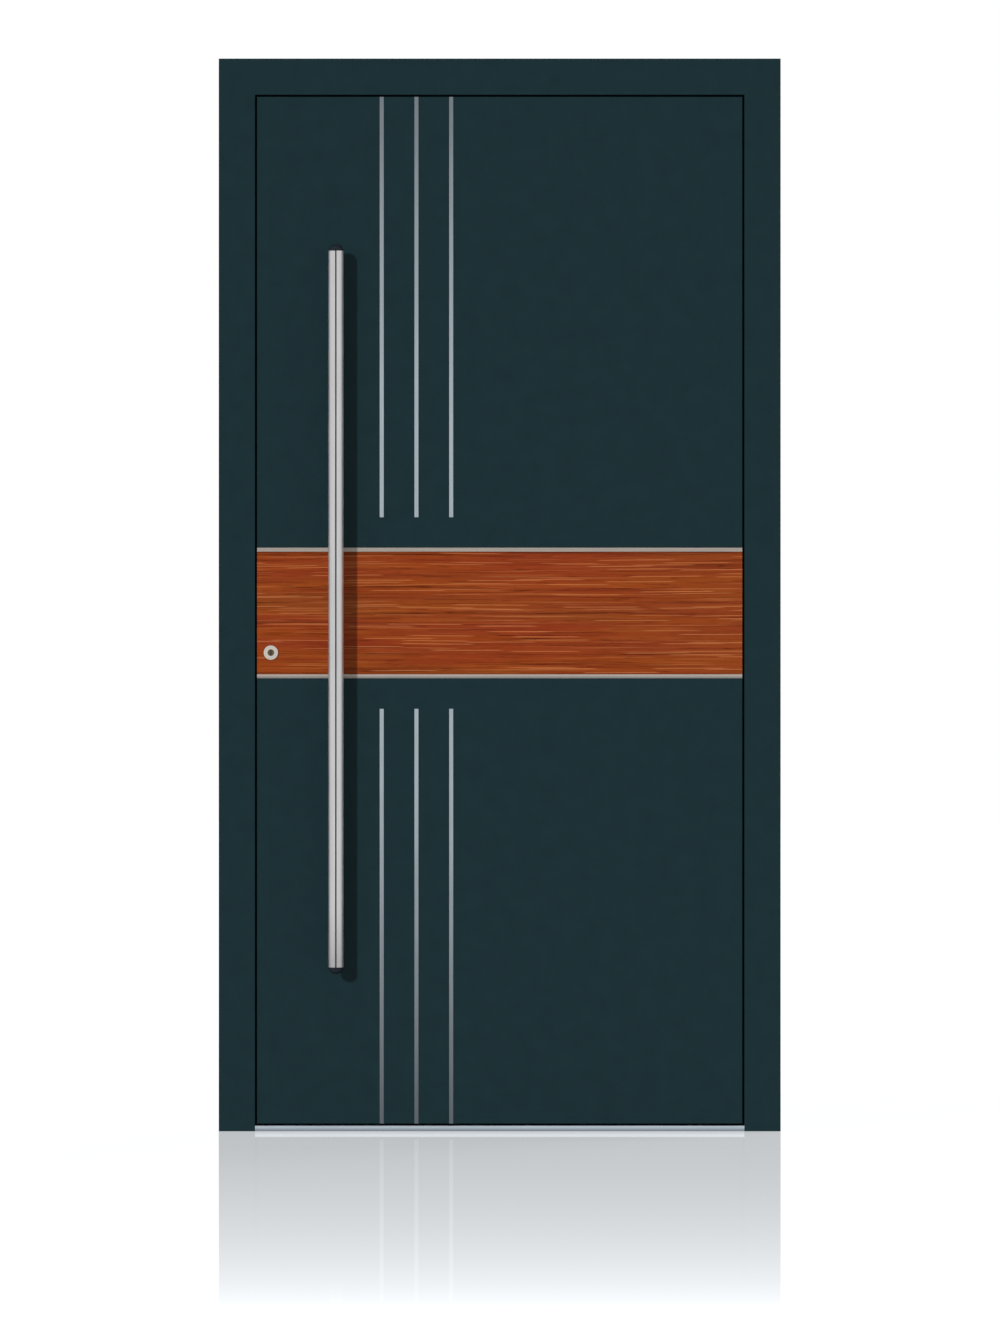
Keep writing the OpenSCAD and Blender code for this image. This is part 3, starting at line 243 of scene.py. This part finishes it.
dress(zinc_plate("zinc_plated_steel"), "frame_corner_cleats", "leaf_corner_cleats",
      "pull_bar_backing_plates", "main_lock_case", "auxiliary_lock_cases", "drive_rods",
      "lever_spindle", "latch_follower")


# Threshold: two aluminium extrusions, clear anodised, on either side of the plastic core.
# The die leaves long faint lines along them, and feet scuff the nose and the grooved deck.

ANODISED_DARK = (0.41, 0.47, 0.52)
ANODISED_PALE = (0.54, 0.61, 0.67)
# Painted shade: the anodised colour darkens towards the floor between these two heights.
ANODISED_FOOT_SHADE = (0.24, 0.27, 0.31)
FOOT_SHADE_STARTS = 0.0085
FOOT_SHADE_FULL = 0.0015


def anodised(name):
    """Die lines along X as a noise that is very long in X, and a cloudy wear in the roughness.

    A painted shade darkens the metal towards the floor, by a soft step of the height.
    """
    material, shader, place = new_finish(name)
    lines = place.noise(per_metre=(1.5, 1400.0, 1400.0), detail=3.0, rough=0.6)
    wear = place.noise(per_metre=(14.0, 60.0, 60.0), shift=2.9, detail=3.0)
    drawn = lines.blended(wear, share=0.3).tint(ANODISED_DARK, ANODISED_PALE)
    feed(shader, {
        "Base Color": place.axis("Z").step(FOOT_SHADE_STARTS, FOOT_SHADE_FULL).between(drawn, ANODISED_FOOT_SHADE),
        "Metallic": 1.0,
        "Roughness": lines.blended(wear, share=2 / 3).ranged(0.26, 0.56),
        "Normal": lines.bump(depth=0.00006, strength=0.25),
    })
    return material


dress(anodised("anodised_threshold"), "threshold_outer_rail", "threshold_inner_rail")


# Seals: the hollow bulb round the frame's stop and the lips under the leaf, both extruded rubber.
# Their feet are pushed into the profiles' grooves. The skin is matt, with a dusty bloom.

RUBBER_BLACK = (0.008, 0.008, 0.009)
RUBBER_BLOOM = (0.022, 0.022, 0.023)


def seal_rubber(name):
    """Matt black with a cloudy bloom and a fine pebbled skin."""
    material, shader, place = new_finish(name)
    bloom = place.noise(per_metre=30.0, detail=4.0, rough=0.6)
    pebble = place.noise(per_metre=1600.0, shift=4.4)
    feed(shader, {
        "Base Color": bloom.tint(RUBBER_BLACK, RUBBER_BLOOM, low=0.4, high=0.75),
        "Roughness": pebble.ranged(0.68, 0.83),
        "Specular IOR Level": 0.2,
        "Normal": pebble.bump(depth=0.00010, strength=0.3),
    })
    return material


dress(seal_rubber("black_seal_rubber"), "frame_stop_seal", "sill_lip_seal")


# Leaf's core: rigid foam, bonded between the outer facing and the inner sheet.
# It is closed in by the profiles and sheets on all sides.

FOAM_DEEP = (0.52, 0.46, 0.32)
FOAM_PALE = (0.66, 0.60, 0.44)
FOAM_CELLS_PER_METRE = 900.0


def rigid_foam(name):
    """Small closed cells: the distance to the nearest cell's middle shades the colour and the bump."""
    material, shader, place = new_finish(name)
    cells = place.node("TexVoronoi", {}, {"Vector": place, "Scale": FOAM_CELLS_PER_METRE})
    feed(shader, {
        "Base Color": cells.tint(FOAM_PALE, FOAM_DEEP, low=0.1, high=0.7),
        "Roughness": cells.ranged(0.8, 0.9),
        "Normal": (1 - cells).bump(depth=0.0004, strength=0.4),
    })
    return material


dress(rigid_foam("rigid_foam"), "insulating_core")


# Timber band: a red-brown veneer with long straight grain, oiled, on a stable board.
# It lies flush between the two steel trims, with its grain running across the door.

TIMBER_RED = (0.236, 0.032, 0.0080)
TIMBER_ORANGE = (0.275, 0.050, 0.0060)
TIMBER_BROWN = (0.205, 0.054, 0.0105)
TIMBER_DARK = (0.070, 0.008, 0.001)
TIMBER_LIGHT = (0.500, 0.170, 0.056)
SLAT_ROWS = 115.0
SLAT_LENGTHS = 3.4
SLAT_SEED = 0.0
LINE_ROWS = 500.0
LINE_LENGTHS = 4.0
LINE_SEED = 40.7
PIECE_ENDS = 0.35
START_SPREAD = 9.0
ROW_SEED = 17.3
PIECE_SEED = 5.1
MIDDLE_TONE = 0.5
GRAIN_DRIFT = (0.0, 0.0, 0.010)
BROWN_FROM = 0.05
BROWN_FULL = 0.45
# Painted shade along the band's upper and lower edge, next to the trims: how far it reaches.
UPPER_EDGE_SHADE = 0.010
LOWER_EDGE_SHADE = 0.006
PORE_DARKENS = 0.30
PORE_SINKS = 0.3
FIBRE_RISES = 0.4
THREAD_RISES = 0.3
FIBRE_ROUGHENS = 0.08


def random_tone(number):
    """A random number from 0 to 1 for each whole number."""
    return number.node("TexWhiteNoise", {"noise_dimensions": "1D"}, {"W": number})


def row_tones(along, up, rows, lengths, seed):
    """A random tone for each piece of each row: rows of z, so many to the metre, cut into lengths of x.

    A row is a whole number of z, a piece a whole number of x that starts elsewhere on each row, and
    its tone is a random number of both. Towards a piece's ends the tone eases to the middle one.
    """
    row = (up * rows).math("FLOOR")
    run = along * lengths + random_tone(row + seed) * START_SPREAD
    piece = run.math("FLOOR")
    share = run - piece
    ends = share.step(0.0, PIECE_ENDS) * share.step(1.0, 1.0 - PIECE_ENDS)
    tone = random_tone(row * ROW_SEED + piece * PIECE_SEED + seed)
    return (tone - MIDDLE_TONE) * ends + MIDDLE_TONE


def oiled_veneer(name):
    """Slats along X of slightly different tones, with lines, streaks, flecks, fibres and pores over them.

    Slats and lines are rows of random tones: among the lines only the highest tones show light and
    the lowest show dark, strongest along the row's middle. The other layers are noises that are far
    longer in X than in Z. All of them lie over coordinates that a slow noise pushes up and down, so
    that the grain drifts. The ground turns browner along X, and a painted shade darkens the band
    along its upper and lower edge, under the upper trim and above the lower one.
    """
    low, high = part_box("timber_band")
    material, shader, place = new_finish(name)
    height = place.axis("Z")
    drift = place.noise(per_metre=(2.3, 1.0, 5.0), shift=9.2)
    grain = place.node("VectorMath", {"operation": "MULTIPLY_ADD"}, {0: drift, 1: GRAIN_DRIFT, 2: place})
    along = grain.axis("X")
    up = grain.axis("Z")
    slat = row_tones(along, up, SLAT_ROWS, SLAT_LENGTHS, SLAT_SEED)
    line = row_tones(along, up, LINE_ROWS, LINE_LENGTHS, LINE_SEED)
    offside = (up * LINE_ROWS).math("FRACT") * 2 - 1
    ridge = 1 - offside * offside
    hue = grain.noise(per_metre=(1.3, 1.0, 13.0), shift=5.9)
    zone = grain.noise(per_metre=(2.0, 1.0, 40.0), shift=1.7, detail=3.0)
    streak = grain.noise(per_metre=(2.8, 1.0, 190.0), shift=4.1, detail=4.0, rough=0.6)
    thread = grain.noise(per_metre=(3.2, 1.0, 310.0), shift=6.3, detail=3.0, rough=0.55)
    fibre = grain.noise(per_metre=(26.0, 1.0, 1500.0), shift=8.8, detail=2.0)
    fleck = grain.noise(per_metre=(20.0, 1.0, 330.0), shift=3.7, detail=1.0)
    pore = grain.noise(per_metre=(75.0, 1.0, 2400.0), shift=2.6, detail=1.0).step(low=0.36, high=0.27)
    warm = zone.blended(slat, share=0.2).tint(TIMBER_RED, TIMBER_ORANGE)
    browner = (hue.layer(none=0.48, full=0.66, weight=0.52)
               + along.layer(none=BROWN_FROM, full=BROWN_FULL, weight=0.26))
    darker = (streak.layer(none=0.48, full=0.32, weight=0.52)
              + line.layer(none=0.22, full=0.10, weight=0.56) * ridge
              + fleck.layer(none=0.36, full=0.26, weight=0.40)
              + slat.layer(none=0.35, full=0.0, weight=0.12)
              + fibre.layer(none=0.50, full=0.30, weight=0.18)
              + pore * PORE_DARKENS
              # painted shade along the band's upper and lower edge
              + height.layer(none=high.z - UPPER_EDGE_SHADE, full=high.z, weight=0.42)
              + height.layer(none=low.z + LOWER_EDGE_SHADE, full=low.z, weight=0.26))
    lighter = (thread.layer(none=0.58, full=0.70, weight=0.36)
               + line.layer(none=0.76, full=0.89, weight=0.68) * ridge
               + slat.layer(none=0.75, full=1.0, weight=0.07)
               + fibre.layer(none=0.55, full=0.80, weight=0.18))
    ground = browner.between(warm, TIMBER_BROWN)
    shaded = darker.between(ground, TIMBER_DARK)
    relief = fibre * FIBRE_RISES + thread * THREAD_RISES - pore * PORE_SINKS
    feed(shader, {
        "Base Color": lighter.between(shaded, TIMBER_LIGHT),
        "Roughness": streak.ranged(0.60, 0.40) + fibre * FIBRE_ROUGHENS,
        "Specular IOR Level": 0.10,
        "Normal": relief.bump(depth=0.00022, strength=0.40),
    })
    return material


dress(oiled_veneer("oiled_timber"), "timber_band")


# Trims and inlay strips: flat stainless steel, brushed lengthwise and bonded into the facing.
# The trims close off the timber above and below and are blasted first, which scatters the light,
# and the strips lie in grooves in the sheets.

TRIM_DARK = (0.265, 0.232, 0.204)
TRIM_PALE = (0.355, 0.312, 0.275)
# The lower trim is a lighter copy of the trims' steel, a painted highlight on its upper edge.
TRIM_PAINTED_LIT = (0.460, 0.400, 0.352)
TRIM_METAL = 0.15
TRIM_SHADE_DEEPENS = 0.68
STRIP_DARK = (0.315, 0.360, 0.388)
STRIP_PALE = (0.440, 0.500, 0.538)
# Painted reflection on the strips: palest just above the band, deeper towards their outer ends.
STRIP_HIGHLIGHT_UP = 0.10
STRIP_HIGHLIGHT_REACH = 0.235
STRIP_SHADE_REACH = 1.29
STRIP_SHADE_DEEPENS = 0.90
STEEL_SHADED = (0.056, 0.066, 0.080)
BRUSHED_ALONG_X = (4.0, 1500.0, 1500.0)
BRUSHED_ALONG_Z = (1500.0, 1500.0, 4.0)
SMEAR_ROUGHENS = 0.10


def brushed_steel(name, dark, pale, per_metre, spread=0.0, shade=None, metal=1.0):
    """Brushing as a noise that is long along the piece, in its colour, roughness and bump.

    The spread widens the gloss across the brushing, and a shade, a function of the coordinates,
    mixes a painted shade into the steel's colour. Metal is the share that mirrors, and the
    rest scatters the light.
    """
    material, shader, place = new_finish(name)
    brushing = place.noise(per_metre, detail=3.0, rough=0.6)
    smear = place.noise(per_metre=11.0, shift=3.3, detail=3.0)
    colour = brushing.blended(smear, share=0.2).tint(dark, pale)
    if shade:
        colour = shade(place).between(colour, STEEL_SHADED)
    feed(shader, {
        "Base Color": colour,
        "Metallic": metal,
        "Roughness": brushing.ranged(0.22, 0.36) + smear * SMEAR_ROUGHENS,
        "Anisotropic": spread,
        "Normal": brushing.bump(depth=0.00004, strength=0.2),
    })
    return material


def strip_painted_reflection(place):
    """A painted reflection: palest just above the band and deeper towards a strip's outer end, by height.
    """
    low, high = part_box("timber_band")
    palest = (low.z + high.z) / 2 + STRIP_HIGHLIGHT_UP
    away = (place.axis("Z") - palest).math("ABSOLUTE")
    return away.layer(none=STRIP_HIGHLIGHT_REACH, full=STRIP_SHADE_REACH, weight=STRIP_SHADE_DEEPENS)


def lower_trim_painted_shade(place):
    """A painted shade: deeper steel towards the lower trim's lower edge, by a soft step of the height."""
    low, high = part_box("lower_band_trim")
    return place.axis("Z").layer(none=high.z, full=low.z, weight=TRIM_SHADE_DEEPENS)


dress(brushed_steel("upper_trim_steel", TRIM_DARK, TRIM_PALE, BRUSHED_ALONG_X, metal=TRIM_METAL),
      "upper_band_trim")
# The lower trim: a painted highlight along its upper edge and a painted shade towards its lower one.
dress(brushed_steel("lower_trim_steel", TRIM_PALE, TRIM_PAINTED_LIT, BRUSHED_ALONG_X,
                    shade=lower_trim_painted_shade, metal=TRIM_METAL), "lower_band_trim")
dress(brushed_steel("strip_steel", STRIP_DARK, STRIP_PALE, BRUSHED_ALONG_Z, shade=strip_painted_reflection),
      "upper_inlay_strips", "lower_inlay_strips")


# Pull bar: a stainless tube brushed along its length, with a groove down its front.
# Two turned posts carry it, bolted through the facing into plates, and dark domed caps close it.

BAR_DARK = (0.496, 0.486, 0.486)
BAR_PALE = (0.67, 0.66, 0.66)
BAR_SPREAD = 0.75
# Painted shade in the groove down the bar's front and at the bar's foot.
GROOVE_EDGE = 0.0015
GROOVE_FLOOR = 0.0012
GROOVE_REACH = 0.004
BAR_FOOT_SHADE_FROM = 0.120
BAR_FOOT_SHADE_PAST = 0.030
BAR_FOOT_SHADE_DEEPENS = 0.38
CAP_DEEP = (0.0075, 0.0120, 0.0170)
CAP_PALE = (0.0110, 0.0170, 0.0240)


def bar_shade(place):
    """1 in the groove down the bar's front, near its middle plane, and less at the bar's foot.

    Both are painted shade. The foot's is a soft step of the height that runs on past the bar's lower end.
    """
    low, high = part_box("pull_bar_tube")
    away = (place.axis("X") - (low.x + high.x) / 2).math("ABSOLUTE")
    front = place.axis("Y").step(low.y + GROOVE_REACH, low.y)
    groove = away.step(GROOVE_EDGE, GROOVE_FLOOR) * front
    foot = place.axis("Z").layer(none=low.z + BAR_FOOT_SHADE_FROM, full=low.z - BAR_FOOT_SHADE_PAST, weight=BAR_FOOT_SHADE_DEEPENS)
    return groove.math("MAXIMUM", foot)


def satin_plastic(name):
    """A dark moulded skin: faint clouds in its colour and fine spark-eroded grain in its bump."""
    material, shader, place = new_finish(name)
    cloud = place.noise(per_metre=60.0, detail=3.0)
    grain = place.noise(per_metre=2600.0, shift=1.9)
    feed(shader, {
        "Base Color": cloud.between(CAP_DEEP, CAP_PALE),
        "Roughness": grain.ranged(0.38, 0.48),
        "Specular IOR Level": 0.12,
        "Normal": grain.bump(depth=0.00005, strength=0.2),
    })
    return material


dress(brushed_steel("bar_steel", BAR_DARK, BAR_PALE, BRUSHED_ALONG_Z, BAR_SPREAD, bar_shade),
      "pull_bar_tube")
dress(brushed_steel("post_steel", BAR_DARK, BAR_PALE, BRUSHED_ALONG_Z), "pull_bar_posts")
cap_plastic = satin_plastic("dark_cap_plastic")
dress(cap_plastic, "pull_bar_end_caps")


# Lock edge: faceplate, bolts and strike plates of stainless steel, brushed along the edge.
# The faceplate is let into the leaf's edge, and the strike plates are screwed on the jamb.

EDGE_DARK = (0.42, 0.41, 0.40)
EDGE_PALE = (0.58, 0.57, 0.56)

dress(brushed_steel("lock_edge_steel", EDGE_DARK, EDGE_PALE, BRUSHED_ALONG_Z),
      "lock_faceplate", "latch_bolt", "dead_bolt", "auxiliary_bolts",
      "main_strike_plate", "auxiliary_strike_plates")


# Key cylinder and inside roses: turned stainless steel with fine rings left by the lathe.
# The collar sits on the timber, the plug turns in the cylinder's body, and the roses cover the
# holes in the inner sheet under the lever and the thumb turn.

TURNED_DARK = (0.50, 0.45, 0.40)
TURNED_PALE = (0.66, 0.60, 0.54)
# The plug's brass is painted near black: a painted shade of the recess it sits in.
PLUG_SHADED_DARK = (0.085, 0.070, 0.040)
PLUG_SHADED_PALE = (0.150, 0.125, 0.075)
RINGS_PER_METRE = 2400.0
HANDLING_ROUGHENS = 0.08


def turned_steel(name, node, dark, pale):
    """Rings round a node's own axis along Y: a noise of the distance from that axis."""
    low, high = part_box(node)
    middle = (low + high) / 2
    material, shader, place = new_finish(name)
    across = place.axis("X") - middle.x
    up = place.axis("Z") - middle.z
    radius = (across * across + up * up).math("SQRT")
    rings = radius.node("TexNoise", {"noise_dimensions": "1D"},
                        {"W": radius, "Scale": RINGS_PER_METRE, "Detail": 2.0})
    handling = place.noise(per_metre=40.0, detail=3.0)
    feed(shader, {
        "Base Color": rings.blended(handling, share=0.3).tint(dark, pale),
        "Metallic": 1.0,
        "Roughness": rings.ranged(0.22, 0.34) + handling * HANDLING_ROUGHENS,
        "Normal": rings.bump(depth=0.00004, strength=0.25),
    })
    return material


dress(turned_steel("collar_steel", "key_collar", TURNED_DARK, TURNED_PALE),
      "key_collar", "key_cylinder_body")
dress(turned_steel("plug_brass", "key_collar", PLUG_SHADED_DARK, PLUG_SHADED_PALE), "key_plug")
dress(turned_steel("lever_rose_steel", "lever_rose", EDGE_DARK, EDGE_PALE), "lever_rose")
dress(turned_steel("thumb_rose_steel", "thumb_turn_rose", EDGE_DARK, EDGE_PALE), "thumb_turn_rose")


# Lever and thumb turn: solid stainless steel, bent or milled from bar and brushed along the lever.
# Each turns in its rose on the inner sheet and sits on a square spindle from the lock.

dress(brushed_steel("lever_steel", EDGE_DARK, EDGE_PALE, BRUSHED_ALONG_X),
      "lever_handle", "thumb_turn")


# Screws: countersunk steel heads with a six-lobed socket, flush with the plates that they hold.
# Four sit in each hinge plate, two in each strike plate and four in the faceplate.

SCREW_HEAD_R = 0.0043
SCREW_SHANK_R = 0.0024
SCREW_SINK = 0.0001
SCREW_EDGE = 0.0002
SCREW_SIDES = 48
SCREW_BLASTING = 900.0
SOCKET_R = 0.0020
SOCKET_LOBES = 6
SOCKET_LOBE_SHARE = 0.14
SOCKET_DEPTH = 0.0016
SOCKET_TAPER = 0.9
SHARP_FROM_DEGREES = 35.0


def skin(rings):
    """Closed skin over rings of points: quads between rings, a fan to the middle of each end ring."""
    rows, sides, _ = rings.shape
    here = np.arange(rows * sides).reshape(rows, sides)
    beside = np.roll(here, -1, axis=1)
    quads = np.stack([here[:-1], here[1:], beside[1:], beside[:-1]], axis=-1).reshape(-1, 4)
    first = np.stack([np.full(sides, rows * sides), here[0], beside[0]], axis=-1)
    last = np.stack([np.full(sides, rows * sides + 1), beside[-1], here[-1]], axis=-1)
    points = np.vstack([rings.reshape(-1, 3), rings[:1].mean(axis=1), rings[-1:].mean(axis=1)])
    return points, quads, np.vstack([first, last])


def screw(length):
    """Screw along +Z with its head on 0: each ring is a radius round Z, lobed inside the socket."""
    turn = np.linspace(0.0, 2 * np.pi, SCREW_SIDES, endpoint=False)
    socket = SOCKET_R * (1 + SOCKET_LOBE_SHARE * np.cos(SOCKET_LOBES * turn))
    plain = np.ones_like(turn)
    radii = np.stack([socket * SOCKET_TAPER, socket, socket + SCREW_EDGE,
                      plain * (SCREW_HEAD_R - SCREW_EDGE), plain * SCREW_HEAD_R,
                      plain * SCREW_SHANK_R, plain * SCREW_SHANK_R])
    heights = np.array([-SOCKET_DEPTH, -SCREW_EDGE, 0.0, 0.0, -SCREW_EDGE,
                        SCREW_SHANK_R - SCREW_HEAD_R, -length])
    level = np.repeat(heights[:, None], SCREW_SIDES, axis=1)
    return skin(np.stack([radii * np.cos(turn), radii * np.sin(turn), level], axis=-1))


def facing(axis, sign):
    """Three directions for a piece along Z that is turned to face along an axis, right-handed."""
    directions = np.roll(np.eye(3), -axis - 1, axis=0)
    if sign < 0:
        directions = directions[[1, 0, 2]] * np.array([[1.0], [1.0], [-1.0]])
    return directions


def repeated(name, shape, centres, directions, body, material):
    """One object of copies of a shape, turned to the given directions and set on the centres."""
    points, quads, fans = shape
    centres = np.array(centres, float)
    placed = (centres[:, None, :] + (points @ directions)[None]).reshape(-1, 3)
    step = (np.arange(len(centres)) * len(points))[:, None, None]
    faces = (quads[None] + step).reshape(-1, 4).tolist() + (fans[None] + step).reshape(-1, 3).tolist()
    mesh = bpy.data.meshes.new(name)
    mesh.from_pydata(placed.tolist(), [], faces)
    mesh.polygons.foreach_set("use_smooth", np.ones(len(faces), bool))
    mesh.set_sharp_from_angle(angle=np.radians(SHARP_FROM_DEGREES))
    mesh.materials.append(material)
    piece = bpy.data.objects.new(name, mesh)
    bpy.context.scene.collection.objects.link(piece)
    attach(piece, body)


HINGES = 3
HINGE_H = 0.160
HINGE_PLATE_T = 0.005
HINGE_SCREW_FROM_EDGE = 0.013
HINGE_SCREW_END = 0.019
HINGE_SCREW_PITCH = 0.037
screw_steel = brushed_steel("screw_steel", EDGE_DARK, EDGE_PALE, SCREW_BLASTING)
plate_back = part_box("inner_sheet")[1].y
low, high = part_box("hinge_frame_parts")
hinge_bottoms = np.linspace(low.z, high.z - HINGE_H, HINGES)
from_end = np.array([HINGE_SCREW_END, HINGE_SCREW_END + HINGE_SCREW_PITCH])
screw_heights = np.concatenate([from_end, HINGE_H - from_end])
for side, edge in (("frame", high.x - HINGE_SCREW_FROM_EDGE),
                   ("leaf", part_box("hinge_leaf_parts")[0].x + HINGE_SCREW_FROM_EDGE)):
    centres = [(edge, plate_back + HINGE_PLATE_T - SCREW_SINK, z)
               for z in (hinge_bottoms[:, None] + screw_heights[None]).ravel()]
    repeated("hinge_" + side + "_screws", screw(HINGE_PLATE_T - SCREW_SINK), centres, facing(1, 1),
             side, screw_steel)

STRIKE_SCREW_END = 0.013
STRIKE_AUX_H = 0.064
low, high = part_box("main_strike_plate")
strike_y = (low.y + high.y) / 2
aux_low, aux_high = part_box("auxiliary_strike_plates")
plate_ends = [(low.z, high.z),
              (aux_low.z, aux_low.z + STRIKE_AUX_H),
              (aux_high.z - STRIKE_AUX_H, aux_high.z)]
centres = [(high.x - SCREW_SINK, strike_y, z) for bottom, top in plate_ends
           for z in (bottom + STRIKE_SCREW_END, top - STRIKE_SCREW_END)]
repeated("strike_plate_screws", screw(high.x - low.x - SCREW_SINK), centres, facing(0, 1),
         "frame", screw_steel)

FACEPLATE_SCREW_REACH = 0.068
low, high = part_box("lock_faceplate")
bolt_low, bolt_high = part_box("auxiliary_bolts")
bolt_r = (bolt_high.y - bolt_low.y) / 2
centres = [(low.x + SCREW_SINK, strike_y, z + reach)
           for z in (bolt_low.z + bolt_r, bolt_high.z - bolt_r)
           for reach in (-FACEPLATE_SCREW_REACH, FACEPLATE_SCREW_REACH)]
repeated("faceplate_screws", screw(high.x - low.x - SCREW_SINK), centres, facing(0, -1),
         "leaf", screw_steel)


# Anchor caps: moulded plastic buttons that close the access holes in the frame's rebate.
# Each is pressed into its hole over the head of a wall anchor and keeps a thin domed rim.

CAP_RIM_R = 0.0090
CAP_RIM_H = 0.0008
CAP_STEM_R = 0.0073
CAP_STEM_LEN = 0.0060
CAP_SIDES = 64
DOME_RINGS = 8
DOME_FIRST_RING = 0.1
MILLIMETRE = 0.001


def anchor_cap():
    """Button along +Z with its rim on 0: a dome by a cosine of the radius, then the plain stem."""
    turn = np.linspace(0.0, 2 * np.pi, CAP_SIDES, endpoint=False)
    dome_r = np.linspace(DOME_FIRST_RING, 1.0, DOME_RINGS) * CAP_RIM_R
    dome_h = CAP_RIM_H * np.cos(0.5 * np.pi * dome_r / CAP_RIM_R)
    radii = np.concatenate([dome_r, [CAP_STEM_R, CAP_STEM_R]])
    heights = np.concatenate([dome_h, [0.0, -CAP_STEM_LEN]])
    ring = np.stack([np.cos(turn), np.sin(turn), np.zeros_like(turn)], axis=-1)
    return skin(radii[:, None, None] * ring[None] + heights[:, None, None] * np.array([0.0, 0.0, 1.0]))


for side, sign in (("lock", 1), ("hinge", -1)):
    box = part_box(side + "_jamb_inner_profile")
    rebate = box[1].x if sign > 0 else box[0].x
    patterns = [mount for mount in frame["record"]["mounts"]
                if mount["name"].startswith(side) and mount["dims"].get("count")]
    centres = []
    for mount in patterns:
        _, y, z = mount["pos_m"]
        half = mount["dims"]["spacing_y_mm"] * MILLIMETRE / 2
        centres += [(rebate, y, z - half), (rebate, y, z + half)]
    repeated(side + "_jamb_anchor_caps", anchor_cap(), centres, facing(0, sign),
             "frame", cap_plastic)


# Studio: a white room with a pale polished floor, a clear key light from the upper left, a soft
# light from behind for the inner face, and an even fill. The floor mirrors the door's foot faintly.

ROOM_FILL = 0.45
KEY_STRENGTH = 2.30
KEY_SPREAD = 2.5
KEY_FROM = (-25.0, -60.0, 17.0)
BACK_STRENGTH = 1.7
BACK_SPREAD = 25.0
BACK_FROM = (30.0, 60.0, 24.0)
FLOOR_HALF = 60.0
FLOOR_DROP = 0.0003
FLOOR_PALE = (0.30, 0.30, 0.30)
FLOOR_GLOW = (0.815, 0.845, 0.870)
FLOOR_MIRROR = 0.478
FLOOR_MIRROR_ROUGHNESS = 0.03
FLOOR_FADE = 8.35
FLOOR_FADE_CURVE = 0.6
WHITE = (1.0, 1.0, 1.0)


def seen_directly(tree):
    """1 for rays from the camera or off a mirror or through glass, and 0 for light that only fills."""
    camera, glossy, through = (Wire.new(tree, "LightPath", {}, {}, out=name) for name in
                               ("Is Camera Ray", "Is Glossy Ray", "Is Transmission Ray"))
    return camera.math("MAXIMUM", glossy.math("MAXIMUM", through))


def lamp(name, source, strength, spread):
    """A far lamp that shines from a direction towards the door, as wide as its spread in degrees."""
    light = bpy.data.lights.new(name, "SUN")
    light.energy = strength
    light.angle = np.radians(spread)
    holder = bpy.data.objects.new(name, light)
    holder.rotation_mode = "QUATERNION"
    holder.rotation_quaternion = Vector(source).to_track_quat("Z", "Y")
    holder.visible_glossy = False
    bpy.context.scene.collection.objects.link(holder)


lamp("key_light", KEY_FROM, KEY_STRENGTH, KEY_SPREAD)
lamp("back_light", BACK_FROM, BACK_STRENGTH, BACK_SPREAD)

world = bpy.data.worlds.new("white_room")
world.use_nodes = True
bpy.context.scene.world = world
room = seen_directly(world.node_tree).ranged(ROOM_FILL, 1.0)
feed(world.node_tree.nodes["Background"], {"Color": WHITE, "Strength": room})

floor_corners = [(x * FLOOR_HALF, y * FLOOR_HALF, -FLOOR_DROP)
                 for x, y in ((-1, -1), (1, -1), (1, 1), (-1, 1))]
floor_mesh = bpy.data.meshes.new("studio_floor")
floor_mesh.from_pydata(floor_corners, [], [(0, 1, 2, 3)])
floor = bpy.data.objects.new("studio_floor", floor_mesh)
bpy.context.scene.collection.objects.link(floor)
floor_finish, default_shader, place = new_finish("pale_floor")
floor_tree = floor_finish.node_tree
plain = place.node("AddShader", {}, {
    0: place.node("BsdfDiffuse", {}, {"Color": FLOOR_PALE}),
    1: place.node("Emission", {}, {"Color": FLOOR_GLOW, "Strength": seen_directly(floor_tree)})})
mirror = place.node("BsdfGlossy", {}, {"Color": WHITE, "Roughness": FLOOR_MIRROR_ROUGHNESS})
forward = place.axis("Y")
near = 1 - forward * forward * FLOOR_FADE ** -2
fade = near.math("MAXIMUM", 0.0).math("POWER", FLOOR_FADE_CURVE) * FLOOR_MIRROR
polished = place.node("MixShader", {}, {0: fade, 1: plain, 2: mirror})
floor_tree.nodes.remove(default_shader)
floor_tree.links.new(polished.socket, floor_tree.nodes["Material Output"].inputs["Surface"])
floor_mesh.materials.append(floor_finish)


# Camera: straight on, far back, with the door placed in the frame as the photograph has it.
# The door's edges in the photograph's pixels give the scale and the middle of the view, and the
# sensor's width lies along the picture's longer side.

PHOTO_W = 1000
PHOTO_H = 1333
DOOR_LEFT_PX = 218.4
DOOR_RIGHT_PX = 781.0
DOOR_TOP_PX = 59.2
DOOR_BOTTOM_PX = 1130.6
CAMERA_AWAY = 30.0
CAMERA_SEES_TO = 200.0
SENSOR = 36.0
door_size = cad_high - cad_low
metres_per_pixel = (door_size.x / (DOOR_RIGHT_PX - DOOR_LEFT_PX)
                    + door_size.z / (DOOR_BOTTOM_PX - DOOR_TOP_PX)) / 2
face_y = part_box("lower_outer_sheet")[0].y
lens = bpy.data.cameras.new("photo_camera")
lens.sensor_width = SENSOR
lens.lens = SENSOR * CAMERA_AWAY / (PHOTO_H * metres_per_pixel)
lens.clip_end = CAMERA_SEES_TO
camera = bpy.data.objects.new("photo_camera", lens)
camera.location = ((PHOTO_W - DOOR_LEFT_PX - DOOR_RIGHT_PX) / 2 * metres_per_pixel,
                   face_y - CAMERA_AWAY,
                   door_size.z / 2 + (DOOR_TOP_PX + DOOR_BOTTOM_PX - PHOTO_H) / 2 * metres_per_pixel)
camera.rotation_euler = (np.pi / 2, 0.0, 0.0)
bpy.context.scene.collection.objects.link(camera)
bpy.context.scene.camera = camera
bpy.context.scene.view_settings.view_transform = "Standard"
